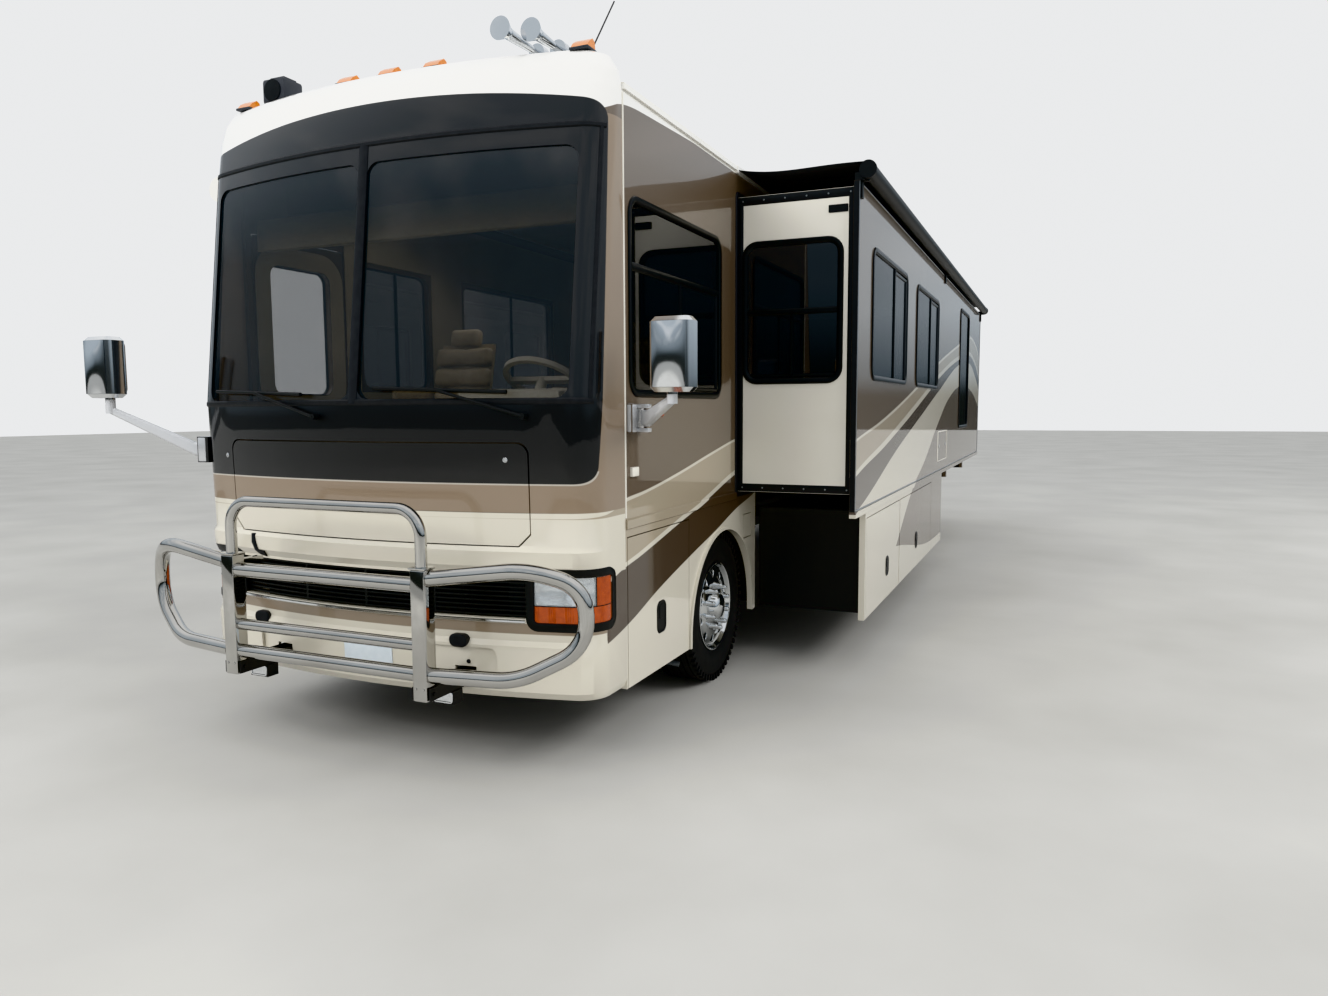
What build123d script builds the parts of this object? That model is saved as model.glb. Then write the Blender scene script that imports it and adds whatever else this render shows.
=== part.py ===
from build123d import *
from math import atan2, cos, pi, sin, sqrt
import os

os.makedirs("parts", exist_ok=True)

# Motorhome, millimetres. X is across with the driver's side at +X, Y runs back from the
# nose, Z is up from the ground. The finished pieces are moved to the middle of the floor
# space that the whole coach takes, by stand_x and stand_y.
stand_x = -152
stand_y = -5982

# Coach body
half_width = 1285
wall = 50
nose_seam = 512
tail_seam = 11850
tail_depth = 300
floor_top = 1200
floor_thickness = 90
wall_top = 3330
roof_crown = 3500
roof_thickness = 60
roof_corner = 90
skin = 35
skirt_bottom = 355
joint_gap = 6
clear = 20

floor_bottom = floor_top - floor_thickness
wall_inner = half_width - wall
tail = tail_seam + tail_depth
skirt_inner = half_width - skin

# Wheels and axles
tyre_radius = 493
tyre_width = 275
bead_radius = 292
hub_height = tyre_radius
front_axle_y = 1985
rear_axle_y = 8350
wheel_outer = 1240
dual_gap = 50
kingpin_x = 900
arch_radius = 590
arch_centre_z = 415
rear_arch_radius = 600

# Chassis
rail_x = 430
rail_width = 80
rail_bottom = 620
rail_top = 900
rail_front = 330

# Slide-out room, shown extended
slide_front = 2237
slide_back = 11186
slide_bottom = 1240
slide_top = 3180
slide_outer = 2097
slide_inner = 1150
slide_wall = 40
fascia_lip = 45
fascia_bottom = 1130
fascia_top = 3204
rub_bottom = 1090
rub_proud = 8
topper_radius = 55
topper_x = 2150
topper_z = 3262
fascia_inner = slide_outer - skin
fascia_front = slide_front - fascia_lip
fascia_back = slide_back + fascia_lip
slide_skin_inner = fascia_inner - slide_wall

# Hanging basement of the slide-out
basement_front = 2560
basement_back = 6800
basement_box_front = 2700
basement_box_back = 5970
basement_inner = 1300
basement_top = 1085
basement_door_top = 1045
basement_bottom = 345
tray = 20
basement_skin = fascia_inner - joint_gap


def across(y):
    """The upright plane across the coach at y, seen from the nose."""
    return Plane((0, y, 0), x_dir=(1, 0, 0), z_dir=(0, -1, 0))


def box(x0, x1, y0, y1, z0, z1, mode=Mode.ADD):
    """A straight-sided block between two corners."""
    with Locations(((x0 + x1) / 2, (y0 + y1) / 2, (z0 + z1) / 2)):
        return Box(abs(x1 - x0), abs(y1 - y0), abs(z1 - z0), mode=mode)


def side_panel(x0, x1, y0, y1, z0, z1, radius=0, mode=Mode.ADD):
    """A panel or a hole in a side wall, with rounded corners."""
    with BuildSketch(Plane.YZ.offset(x0)) as face:
        with Locations(((y0 + y1) / 2, (z0 + z1) / 2)):
            if radius:
                RectangleRounded(y1 - y0, z1 - z0, radius)
            else:
                Rectangle(y1 - y0, z1 - z0)
    extrude(face.sketch, amount=x1 - x0, mode=mode)


def cross_panel(y0, y1, x0, x1, z0, z1, radius=0, mode=Mode.ADD):
    """A panel or a hole that faces the front or the back, with rounded corners."""
    with BuildSketch(across(y1)) as face:
        with Locations(((x0 + x1) / 2, (z0 + z1) / 2)):
            if radius:
                RectangleRounded(x1 - x0, z1 - z0, radius)
            else:
                Rectangle(x1 - x0, z1 - z0)
    extrude(face.sketch, amount=y1 - y0, mode=mode)


def tube(points, radius, bend, mode=Mode.ADD):
    """A round tube along straight runs with bent corners."""
    with BuildLine() as path:
        FilletPolyline(*points, radius=bend)
    with BuildSketch(Plane(origin=path.line @ 0, z_dir=path.line % 0)) as section:
        Circle(radius)
    sweep(section.sketch, path=path.line, mode=mode)


def rod(start, end, radius, mode=Mode.ADD):
    """A straight round bar between two points."""
    axis = Vector(*end) - Vector(*start)
    with BuildSketch(Plane(origin=start, z_dir=axis)) as section:
        Circle(radius)
    extrude(section.sketch, amount=axis.length, mode=mode)


pieces = {}

# Nose: level sections of height, front at the centreline, half width and corner radius.
# The front is a shallow arc of nose_radius that runs into the corners.
nose_radius = 4670
nose_wall = 30
nose_sections = [
    (370, 55, 1270, 150),
    (410, 20, 1285, 165),
    (640, 12, 1285, 165),
    (665, 30, 1285, 165),
    (1000, 30, 1285, 165),
    (1035, 4, 1285, 165),
    (1110, 0, 1285, 165),
    (1140, 18, 1285, 165),
    (1440, 10, 1285, 165),
    (1840, 0, 1285, 165),
    (3120, 153, 1285, 165),
    (3330, 190, 1285, 150),
    (3430, 225, 1268, 120),
    (3500, 265, 1225, 90),
    (3532, 310, 1150, 60),
]


def nose_section(z, front, half, corner, inset, back):
    """The nose from above at height z, as wide as the coach, with a straight back."""
    big = nose_radius - corner
    side = half - corner
    corner_y = front + nose_radius - sqrt(big**2 - side**2)
    lean = atan2(side, front + nose_radius - corner_y)
    r = corner - inset
    start = (side + r * sin(lean), corner_y - r * cos(lean))
    turn = (pi / 2 + lean) / 2
    middle = (side + r * sin(turn), corner_y - r * cos(turn))
    end = (side + r, corner_y)
    with BuildSketch(Plane.XY.offset(z)) as section:
        with BuildLine():
            ThreePointArc((-start[0], start[1]), (0, front + inset), start)
            ThreePointArc(start, middle, end)
            Line(end, (end[0], back))
            Line((end[0], back), (-end[0], back))
            Line((-end[0], back), (-end[0], end[1]))
            ThreePointArc((-end[0], end[1]), (-middle[0], middle[1]), (-start[0], start[1]))
        make_face()
    return section.sketch


def nose_y(x, z):
    """Where the nose's surface stands at x and z, short of its corners."""
    for (z0, front0, *_), (z1, front1, *_) in zip(nose_sections, nose_sections[1:]):
        if z0 <= z <= z1:
            front = front0 + (front1 - front0) * (z - z0) / (z1 - z0)
    return front + nose_radius - sqrt(nose_radius**2 - x**2)


def nose_solid(inset, back, mode=Mode.ADD):
    """The nose as one closed form, inset by a distance."""
    levels = []
    for z, front, half, corner in nose_sections:
        level = z - inset if z == nose_sections[-1][0] else z
        levels.append(nose_section(level, front, half, corner, inset, back))
    loft(levels, ruled=True, mode=mode)


# Windscreen, centre post and the hatch below them
screen_half = 1165
screen_bottom = 1850
screen_top = 3045
screen_corner = 70
post_half = 26
glass = 8
hatch_half = 968
hatch_bottom = 1132
hatch_top = 1640
fascia_split = 1110
lamp_inner = 965
lamp_bottom = 745
lamp_top = 985
lamp_back = 345
guard_foot = 440
grille_half = 955
grille_bottom = 775
grille_top = 985
hatch_corner = 60
recess_half = 780
recess_bottom = 455
recess_top = 625
recess_depth = 18
mount_x = 600
mount_half = 58
mount_slot = 90
mirror_pivot_x = half_width + 62
mirror_pin = 8
mirror_ear = 20
pin_play = 0.5

# Mirrors: side, name, row and height of the foot, the head's distance out, its row, and the elbow's drop
mirrors = [(1, "left", 620, 1750, 1620, 350, 35), (-1, "right", 245, 1575, 1790, -25, 70)]


def hatch_panel(inset, mode):
    """The hatch's outline through the nose, rounded on top and cut off at its lower corners."""
    half = hatch_half - inset
    low = hatch_bottom + inset
    high = hatch_top - inset
    with BuildSketch(across(300)) as face:
        with BuildLine():
            Polyline(
                (-half, high), (-half, low + hatch_corner), (-half + hatch_corner, low),
                (half - hatch_corner, low), (half, low + hatch_corner), (half, high), close=True,
            )
        make_face()
        fillet(face.vertices().group_by(Axis.Y)[-1], hatch_corner)
    extrude(face.sketch, amount=400, mode=mode)


def mirror_foot(side, row, height, seat):
    """A mirror's foot on the coach's side: a plate, two ears and the pin between them."""
    x0, x1 = sorted((side * seat, side * (half_width + 26)))
    box(x0, x1, row - 80, row + 80, height - 74, height + 74)
    for z in (height - 50 - mirror_ear, height + 50):
        x0, x1 = sorted((side * (half_width + 20), side * (mirror_pivot_x + 24)))
        box(x0, x1, row - 24, row + 24, z, z + mirror_ear)
    pin = (side * mirror_pivot_x, row)
    rod((*pin, height - 50 - mirror_ear), (*pin, height + 50 + mirror_ear), mirror_pin)


with BuildPart() as nose_skin:
    nose_solid(0, nose_seam)
    nose_solid(nose_wall, nose_seam + clear, mode=Mode.SUBTRACT)
    box(-half_width, half_width, 0, nose_seam + clear, 0, 372, mode=Mode.SUBTRACT)

with BuildPart() as front_cap:
    add(nose_skin.part)
    box(-1400, 1400, -100, nose_seam + clear, fascia_split, 3600, mode=Mode.INTERSECT)
    for side in (-1, 1):
        left, right = sorted((side * post_half, side * screen_half))
        cross_panel(-100, 480, left, right, screen_bottom, screen_top, screen_corner, mode=Mode.SUBTRACT)
    hatch_panel(0, Mode.SUBTRACT)
    side, word, row, height, *head = mirrors[1]
    mirror_foot(side, row, height, half_width - 60)
pieces["front_cap"] = front_cap

with BuildPart() as front_hatch:
    add(nose_skin.part)
    hatch_panel(joint_gap, Mode.INTERSECT)
pieces["front_hatch"] = front_hatch

with BuildPart() as windscreen:
    nose_solid(10, nose_seam)
    nose_solid(10 + glass, nose_seam + clear, mode=Mode.SUBTRACT)
    with BuildSketch(across(480)):
        for side in (-1, 1):
            with Locations((side * (screen_half + post_half) / 2, (screen_bottom + screen_top) / 2)):
                RectangleRounded(screen_half - post_half, screen_top - screen_bottom, screen_corner)
    extrude(amount=580, mode=Mode.INTERSECT)
pieces["windscreen"] = windscreen

# Fascia and bumper, with a shallow recess for the number plate
with BuildPart() as recess_floor:
    nose_solid(recess_depth, nose_seam)
    nose_solid(nose_wall + 6, nose_seam + clear, mode=Mode.SUBTRACT)
    cross_panel(
        -100, 300, -recess_half - 8, recess_half + 8, recess_bottom - 8, recess_top + 8, 48,
        mode=Mode.INTERSECT,
    )

with BuildPart() as lower_fascia:
    add(nose_skin.part)
    box(-1400, 1400, -100, nose_seam + clear, 300, fascia_split, mode=Mode.INTERSECT)
    cross_panel(-100, 300, -grille_half, grille_half, grille_bottom, grille_top, mode=Mode.SUBTRACT)
    cross_panel(-100, 300, -recess_half, recess_half, recess_bottom, recess_top, 40, mode=Mode.SUBTRACT)
    add(recess_floor.part)
    for side in (-1, 1):
        left, right = sorted((side * lamp_inner, side * 1400))
        cross_panel(-100, lamp_back, left, right, lamp_bottom, lamp_top, 25, mode=Mode.SUBTRACT)
        left, right = side * mount_x - mount_half, side * mount_x + mount_half
        box(left, right, -100, 200, guard_foot - 10, guard_foot - 10 + mount_slot, mode=Mode.SUBTRACT)
pieces["lower_fascia"] = lower_fascia

# Headlamps: a clear lens shell that follows the corner, on a closed housing
with BuildPart() as headlamps:
    nose_solid(6, nose_seam)
    with BuildSketch(across(lamp_back - joint_gap)):
        for side in (-1, 1):
            with Locations((side * (lamp_inner + 1400) / 2, (lamp_bottom + lamp_top) / 2)):
                lamp_width = 1400 - lamp_inner - 2 * joint_gap
                RectangleRounded(lamp_width, lamp_top - lamp_bottom - 2 * joint_gap, 20)
    extrude(amount=450, mode=Mode.INTERSECT)
    box(-half_width + 85, half_width - 85, 190, nose_seam, 600, 1100, mode=Mode.SUBTRACT)
pieces["headlamps"] = headlamps

# Grille: level bars between two end cheeks, behind the opening in the fascia
bar_count = 9
bar_height = 9
bar_depth = 26
grille_recess = 22
grille_pitch = (grille_top - grille_bottom) / bar_count
with BuildPart() as grille:
    nose_solid(grille_recess, nose_seam)
    nose_solid(grille_recess + bar_depth, nose_seam + clear, mode=Mode.SUBTRACT)
    with BuildSketch(across(480)):
        for number in range(bar_count):
            with Locations((0, grille_bottom + (number + 0.5) * grille_pitch)):
                Rectangle(2 * grille_half, bar_height)
        for post in (-grille_half + 8, -420, 0, 420, grille_half - 8):
            with Locations((post, (grille_bottom + grille_top) / 2)):
                Rectangle(16, grille_top - grille_bottom)
    extrude(amount=580, mode=Mode.INTERSECT)
pieces["grille"] = grille

# Side openings of the coach: front and back, bottom and top, and corner radius
window_radius = 70
left_window = (592, 1879, 1891, 2834)
right_windows = [
    (1500, 2240, 1960, 2800),
    (2700, 4100, 1960, 2800),
    (4900, 6100, 1960, 2800),
    (7000, 7700, 2300, 2800),
    (9300, 10500, 1960, 2800),
]
entry_front = 560
entry_back = 1320
entry_bottom = 620
entry_top = 2860

# Rub rail along the foot of both walls, over the joint with the skirts
rail_low = 1182
rail_high = 1240
rail_proud = 10
rail_edge = 8


def rub_rail(side, front, back):
    """A rub rail with bevelled edges on one side of the coach."""
    with BuildSketch(across(back)) as section:
        with BuildLine():
            Polyline(
                (side * half_width, rail_low), (side * (half_width + rail_proud), rail_low + rail_edge),
                (side * (half_width + rail_proud), rail_high - rail_edge), (side * half_width, rail_high),
                (side * (half_width - 2), rail_high), (side * (half_width - 2), floor_top),
                (side * half_width, floor_top), close=True,
            )
        make_face()
    extrude(section.sketch, amount=back - front)


with BuildPart() as left_wall:
    side_panel(wall_inner, half_width, nose_seam, tail_seam, floor_top, wall_top)
    rub_rail(1, nose_seam, slide_front - clear)
    rub_rail(1, fascia_back + clear, tail_seam)
    side, word, row, height, *head = mirrors[0]
    mirror_foot(side, row, height, half_width - 2)
    side_panel(
        wall_inner, half_width, slide_front - clear, slide_back + clear, floor_top, slide_top + clear,
        mode=Mode.SUBTRACT,
    )
    side_panel(wall_inner, half_width, *left_window, window_radius, mode=Mode.SUBTRACT)
pieces["left_wall"] = left_wall

with BuildPart() as right_wall:
    side_panel(-half_width, -wall_inner, nose_seam, tail_seam, floor_top, wall_top)
    rub_rail(-1, entry_back + clear, tail_seam)
    for window in right_windows:
        side_panel(-half_width, -wall_inner, *window, window_radius, mode=Mode.SUBTRACT)
    side_panel(
        -half_width, -wall_inner, entry_front - joint_gap, entry_back + joint_gap,
        floor_top, entry_top + joint_gap, mode=Mode.SUBTRACT,
    )
pieces["right_wall"] = right_wall

# Fixed glass and its frames, with the mullion of each sliding pane and the transom
pane_thickness = 6
pane_set_back = 14
frame_width = 32
frame_proud = 8
frame_lap = 4
mullion = 24


def side_window(wall_x, side, window, cross_bar=True):
    """A window unit in a wall whose outer face is at wall_x: pane, frame and mullion."""
    y0, y1, z0, z1 = window
    pane_x = wall_x - side * pane_set_back
    x0, x1 = sorted((pane_x, pane_x - side * pane_thickness))
    side_panel(x0, x1, *window, window_radius)
    x0, x1 = sorted((wall_x, wall_x + side * frame_proud))
    with BuildSketch(Plane.YZ.offset(x0)) as ring:
        with Locations(((y0 + y1) / 2, (z0 + z1) / 2)):
            width, height = y1 - y0, z1 - z0
            RectangleRounded(width + 2 * frame_width, height + 2 * frame_width, window_radius + frame_width)
            RectangleRounded(
                width - 2 * frame_lap, height - 2 * frame_lap, window_radius - frame_lap, mode=Mode.SUBTRACT,
            )
            if cross_bar:
                Rectangle(mullion, height - frame_lap)
    extrude(ring.sketch, amount=x1 - x0)


with BuildPart() as side_windows:
    side_window(half_width, 1, left_window)
    for window in right_windows:
        side_window(-half_width, -1, window)
pieces["side_windows"] = side_windows

# Roof: one crowned skin with rounded edges, and the rail that holds the topper's fabric


def body_section(y, inset, bottom):
    """The coach's cross-section at y, crowned on top, inset by a distance."""
    shoulder = (half_width - roof_corner, wall_top + roof_corner - inset)
    bend = (half_width - 0.29 * roof_corner - 0.71 * inset, wall_top + 0.71 * roof_corner - 0.71 * inset)
    with BuildSketch(across(y)) as section:
        with BuildLine():
            Polyline((-half_width + inset, wall_top), (-half_width + inset, bottom),
                     (half_width - inset, bottom), (half_width - inset, wall_top))
            ThreePointArc((half_width - inset, wall_top), bend, shoulder)
            ThreePointArc(shoulder, (0, roof_crown - inset), (-shoulder[0], shoulder[1]))
            ThreePointArc((-shoulder[0], shoulder[1]), (-bend[0], bend[1]), (-half_width + inset, wall_top))
        make_face()
    return section.sketch


topper_rail_bottom = 3345
with BuildPart() as roof:
    extrude(body_section(tail_seam, 0, wall_top - 1), amount=tail_seam - nose_seam)
    hollow = body_section(tail_seam, roof_thickness, wall_top - 2)
    extrude(hollow, amount=tail_seam - nose_seam, mode=Mode.SUBTRACT)
    box(-half_width, half_width, nose_seam, tail_seam, wall_top - 5, wall_top, mode=Mode.SUBTRACT)
    box(half_width - 12, half_width + 18, fascia_front, fascia_back, wall_top, topper_rail_bottom + 30)
    drips = ((half_width - 12, half_width + 14, fascia_front), (-half_width - 14, 12 - half_width, tail_seam))
    for x0, x1, back in drips:
        box(x0, x1, nose_seam, back, topper_rail_bottom, topper_rail_bottom + 24)
pieces["roof"] = roof

# Rear cap: a rounded box end with the engine opening and the tail lamps' recesses
rear_wall = 40
rear_round = 70
rear_bottom = 500
hitch_z = 560
hitch_notch = 50
engine_half = 900
engine_bottom = 700
engine_top = 1700
tail_lamp_x = 1075
tail_lamp_width = 110
tail_lamp_bottom = 1050
tail_lamp_top = 1650
slat_half = 500
slat_bottom = 900
slat_pitch = 70
slat_height = 25
with BuildPart() as rear_cap:
    extrude(body_section(tail, 0, rear_bottom), amount=tail - tail_seam)
    rear_edges = rear_cap.edges().group_by(Axis.Y)[-1]
    fillet([edge for edge in rear_edges if edge.center().Z > rear_bottom + 1], rear_round)
    hollow = body_section(tail - rear_wall, rear_wall, rear_bottom - 1)
    extrude(hollow, amount=tail - rear_wall - tail_seam, mode=Mode.SUBTRACT)
    box(
        -hitch_notch, hitch_notch, tail_seam, tail + 20, rear_bottom - 1, hitch_z + hitch_notch,
        mode=Mode.SUBTRACT,
    )
    cross_panel(
        tail - 100, tail + 20, -engine_half - joint_gap, engine_half + joint_gap,
        engine_bottom - joint_gap, engine_top + joint_gap, 50, mode=Mode.SUBTRACT,
    )
pieces["rear_cap"] = rear_cap

with BuildPart() as engine_door:
    cross_panel(tail - rear_wall, tail, -engine_half, engine_half, engine_bottom, engine_top, 44)
    for slat in range(7):
        z = slat_bottom + slat * slat_pitch
        cross_panel(tail - 60, tail + 20, -slat_half, slat_half, z, z + slat_height, 8, mode=Mode.SUBTRACT)
pieces["engine_door"] = engine_door

with BuildPart() as tail_lamps:
    for x in (-tail_lamp_x, tail_lamp_x):
        half = tail_lamp_width / 2
        cross_panel(tail, tail + 14, x - half, x + half, tail_lamp_bottom, tail_lamp_top, 20)
pieces["tail_lamps"] = tail_lamps

with BuildPart() as ladder:
    for side in (-820, -500):
        tube([(side, tail, 1850), (side, tail + 90, 1850), (side, tail + 90, roof_crown + 80),
              (side, tail - 200, roof_crown + 80), (side, tail - 200, roof_crown - 50)], 14, 60)
    for rung in range(6):
        rod((-820, tail + 90, 1950 + rung * 280), (-500, tail + 90, 1950 + rung * 280), 12)
    add(rear_cap.part, mode=Mode.SUBTRACT)
pieces["ladder"] = ladder

# Skirts: fixed panels with wheel arches and door openings
bay_top = 1075
bay_inner = 560
bay_bottom = 400
right_bays = [
    ("bay_door_right_1", 2680, 5080),
    ("bay_door_right_2", 5100, 7500),
    ("bay_door_right_3", 9250, 10950),
]
left_bays = [("bay_door_front_left", 530, 1366, 1140), ("bay_door_rear_left", 9250, 10950, bay_top)]
fuel_front = 2385
fuel_back = 2550
fuel_bottom = 900
fuel_top = 1060
flare_width = 22
flare_proud = 12
flare_low = 5
arm_half = 40
arm_rows = (7300, 9120)
arm_bottom = 1010
basement_arms = (3400, 5700)


def arch(x0, axle_y, radius):
    """A round wheel arch with straight legs, cut through a skirt."""
    with BuildSketch(Plane.YZ.offset(x0)) as opening:
        with Locations((axle_y, arch_centre_z)):
            Circle(radius)
        with Locations((axle_y, arch_centre_z - 300)):
            Rectangle(2 * radius, 600)
    extrude(opening.sketch, amount=skin, mode=Mode.SUBTRACT)


def flare(side, axle_y, radius):
    """A raised lip round a wheel arch, down to the skirt's lower edge."""
    leg = arch_centre_z - skirt_bottom
    with BuildSketch(Plane.YZ.offset(side * half_width)) as lip:
        for reach, mode in ((radius + flare_width, Mode.ADD), (radius, Mode.SUBTRACT)):
            with Locations((axle_y, arch_centre_z)):
                Circle(reach, mode=mode)
            with Locations((axle_y, arch_centre_z - leg / 2)):
                Rectangle(2 * reach, leg, mode=mode)
        with Locations((axle_y, skirt_bottom - radius)):
            Rectangle(4 * radius, 2 * radius, mode=Mode.SUBTRACT)
    extrude(lip.sketch, amount=side * flare_proud)


with BuildPart() as left_skirt:
    side_panel(skirt_inner, half_width, nose_seam, tail_seam, skirt_bottom, floor_top)
    side_panel(
        skirt_inner, half_width, basement_front + 90, basement_back + 30, skirt_bottom, floor_top,
        mode=Mode.SUBTRACT,
    )
    arch(skirt_inner, front_axle_y, arch_radius)
    arch(skirt_inner, rear_axle_y, rear_arch_radius)
    flare(1, front_axle_y, arch_radius)
    flare(1, rear_axle_y, rear_arch_radius)
    side_panel(
        half_width + flare_low, half_width + flare_proud, basement_front - clear, basement_front + 90,
        skirt_bottom, floor_top, mode=Mode.SUBTRACT,
    )
    for name, front, back, top in left_bays:
        side_panel(
            skirt_inner, half_width, front - joint_gap, back + joint_gap, 0, top + joint_gap,
            mode=Mode.SUBTRACT,
        )
    side_panel(
        skirt_inner, half_width, fuel_front - joint_gap, fuel_back + joint_gap,
        fuel_bottom - joint_gap, fuel_top + joint_gap, 12, mode=Mode.SUBTRACT,
    )
    for row in arm_rows:
        side_panel(
            skirt_inner, half_width, row - arm_half - clear, row + arm_half + clear,
            arm_bottom - clear, floor_top, mode=Mode.SUBTRACT,
        )
pieces["left_skirt"] = left_skirt

with BuildPart() as right_skirt:
    side_panel(-half_width, -skirt_inner, nose_seam, tail_seam, skirt_bottom, floor_top)
    arch(-half_width, front_axle_y, arch_radius)
    arch(-half_width, rear_axle_y, rear_arch_radius)
    flare(-1, front_axle_y, arch_radius)
    flare(-1, rear_axle_y, rear_arch_radius)
    side_panel(
        -half_width, -skirt_inner, entry_front - joint_gap, entry_back + joint_gap, entry_bottom - joint_gap,
        floor_top, mode=Mode.SUBTRACT,
    )
    for name, front, back in right_bays:
        side_panel(
            -half_width, -skirt_inner, front - joint_gap, back + joint_gap, 0, bay_top + joint_gap,
            mode=Mode.SUBTRACT,
        )
pieces["right_skirt"] = right_skirt

# Bay doors, the fuel door and the entry door
for name, front, back, top in left_bays:
    with BuildPart() as door:
        side_panel(skirt_inner, half_width, front, back, skirt_bottom, top, 6)
    pieces[name] = door
for name, front, back in right_bays:
    with BuildPart() as door:
        side_panel(-half_width, -skirt_inner, front, back, skirt_bottom, bay_top, 6)
    pieces[name] = door
with BuildPart() as fuel_door:
    side_panel(half_width - 15, half_width, fuel_front, fuel_back, fuel_bottom, fuel_top, 8)
pieces["fuel_door"] = fuel_door

entry_window = (entry_front + 130, entry_back - 130, 1900, 2700)
with BuildPart() as entry_door:
    side_panel(-half_width, -wall_inner, entry_front, entry_back, entry_bottom, entry_top, 30)
    side_panel(-half_width, -wall_inner, *entry_window, window_radius, mode=Mode.SUBTRACT)
pieces["entry_door"] = entry_door
with BuildPart() as entry_glass:
    side_window(-half_width, -1, entry_window, cross_bar=False)
pieces["entry_glass"] = entry_glass

# Baggage bays behind the doors
with BuildPart() as baggage_bays:
    bays = [(-1, front, back) for name, front, back in right_bays]
    bays += [(1, front, back) for name, front, back, top in left_bays]
    for side, front, back in bays:
        x0, x1 = sorted((side * (skirt_inner - joint_gap), side * bay_inner))
        box(x0, x1, front + 10, back - 10, bay_bottom, floor_bottom)
        x0, x1 = sorted((side * half_width, side * (bay_inner + tray)))
        box(
            x0, x1, front + 10 + tray, back - 10 - tray, bay_bottom + tray, floor_bottom - tray,
            mode=Mode.SUBTRACT,
        )
pieces["baggage_bays"] = baggage_bays

# Floor with the step well behind the entry door: each tread's outer edge and height
step_plate = 20
step_depth = 220
step_rise = 150
step_end = 560
step_treads = [(1220, 650), (1000, 800), (780, 950)]
with BuildPart() as floor:
    box(-skirt_inner, skirt_inner, 300, tail_seam, floor_bottom, floor_top)
    box(-skirt_inner, -step_end, entry_front, entry_back, floor_bottom, floor_top, mode=Mode.SUBTRACT)
    box(-skirt_inner, -1100, 300, nose_seam, floor_bottom, floor_top, mode=Mode.SUBTRACT)
    box(1100, skirt_inner, 300, nose_seam, floor_bottom, floor_top, mode=Mode.SUBTRACT)
    for tread, top in step_treads:
        box(-tread, -tread + step_depth, entry_front, entry_back, top - step_plate, top)
        back = -tread + step_depth
        box(back - step_plate, back, entry_front, entry_back, top, top + step_rise)
    for y in (entry_front, entry_back - step_plate):
        box(-step_treads[0][0], -step_end, y, y + step_plate, step_treads[0][1] - step_plate, floor_bottom)
pieces["floor"] = floor

with BuildPart() as entry_step:
    box(-half_width + 60, -1000, entry_front + 80, entry_back - 80, 420, 445)
    for y in (entry_front + 90, entry_back - 110):
        box(-1100, -1060, y, y + 20, 445, step_treads[0][1] - step_plate)
pieces["entry_step"] = entry_step

# Chassis: two channel rails with cross members, body mounts and the fuel tank
with BuildPart() as chassis_frame:
    for side in (-1, 1):
        x0, x1 = sorted((side * (rail_x - rail_width / 2), side * (rail_x + rail_width / 2)))
        box(x0, x1, rail_front, tail_seam - 40, rail_bottom, rail_top)
        x0, x1 = sorted((side * (rail_x - rail_width / 2), side * (rail_x + rail_width / 2 - 12)))
        box(x0, x1, rail_front, tail_seam - 40, rail_bottom + 12, rail_top - 12, mode=Mode.SUBTRACT)
    for row in (rail_front + 60, 1300, 2700, 4200, 5700, 7000, 9300, 10400, tail_seam - 80):
        box(-rail_x + 28, rail_x - 28, row - 40, row + 40, rail_bottom + 30, rail_top - 30)
    for row in (700, 3000, 5400, 7500, 10200, 11500):
        for side in (-1, 1):
            box(side * rail_x - 40, side * rail_x + 40, row - 30, row + 30, rail_top, floor_bottom)
    with BuildSketch(across(4140)):
        with Locations((0, 590)):
            RectangleRounded(660, 420, 120)
    extrude(amount=1300)
    for row in (3000, 3900):
        box(-rail_x + 28, rail_x - 28, row - 30, row + 30, 780, 820)
pieces["chassis_frame"] = chassis_frame

with BuildPart() as engine_block:
    box(-340, 340, 10860, 11680, 450, floor_bottom)
pieces["engine_block"] = engine_block

# Axles: a dropped beam at the front with its kingpins, a banjo housing at the rear
boss_radius = 45
boss_bottom = 380
boss_top = 610
ear = 35
pin_gap = 5
kingpin_radius = 18
with BuildPart() as front_axle:
    rod((-kingpin_x, front_axle_y, hub_height - 60), (kingpin_x, front_axle_y, hub_height - 60), 40)
    for side in (-1, 1):
        pin = (side * kingpin_x, front_axle_y)
        rod((*pin, boss_bottom), (*pin, boss_top), boss_radius)
        rod((*pin, boss_bottom - ear - pin_gap), (*pin, boss_top + ear + pin_gap), kingpin_radius)
        box(side * rail_x - 60, side * rail_x + 60, front_axle_y - 60, front_axle_y + 60, 470, rail_bottom)
pieces["front_axle"] = front_axle

axle_end = 1015
with BuildPart() as rear_axle:
    rod((-axle_end, rear_axle_y, hub_height), (axle_end, rear_axle_y, hub_height), 70)
    with Locations((0, rear_axle_y, hub_height)):
        Sphere(210)
    for side in (-1, 1):
        box(side * rail_x - 60, side * rail_x + 60, rear_axle_y - 90, rear_axle_y + 90, 540, rail_bottom)
    rod((0, 7700, 640), (0, rear_axle_y - 190, hub_height), 45)
pieces["rear_axle"] = rear_axle

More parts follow.
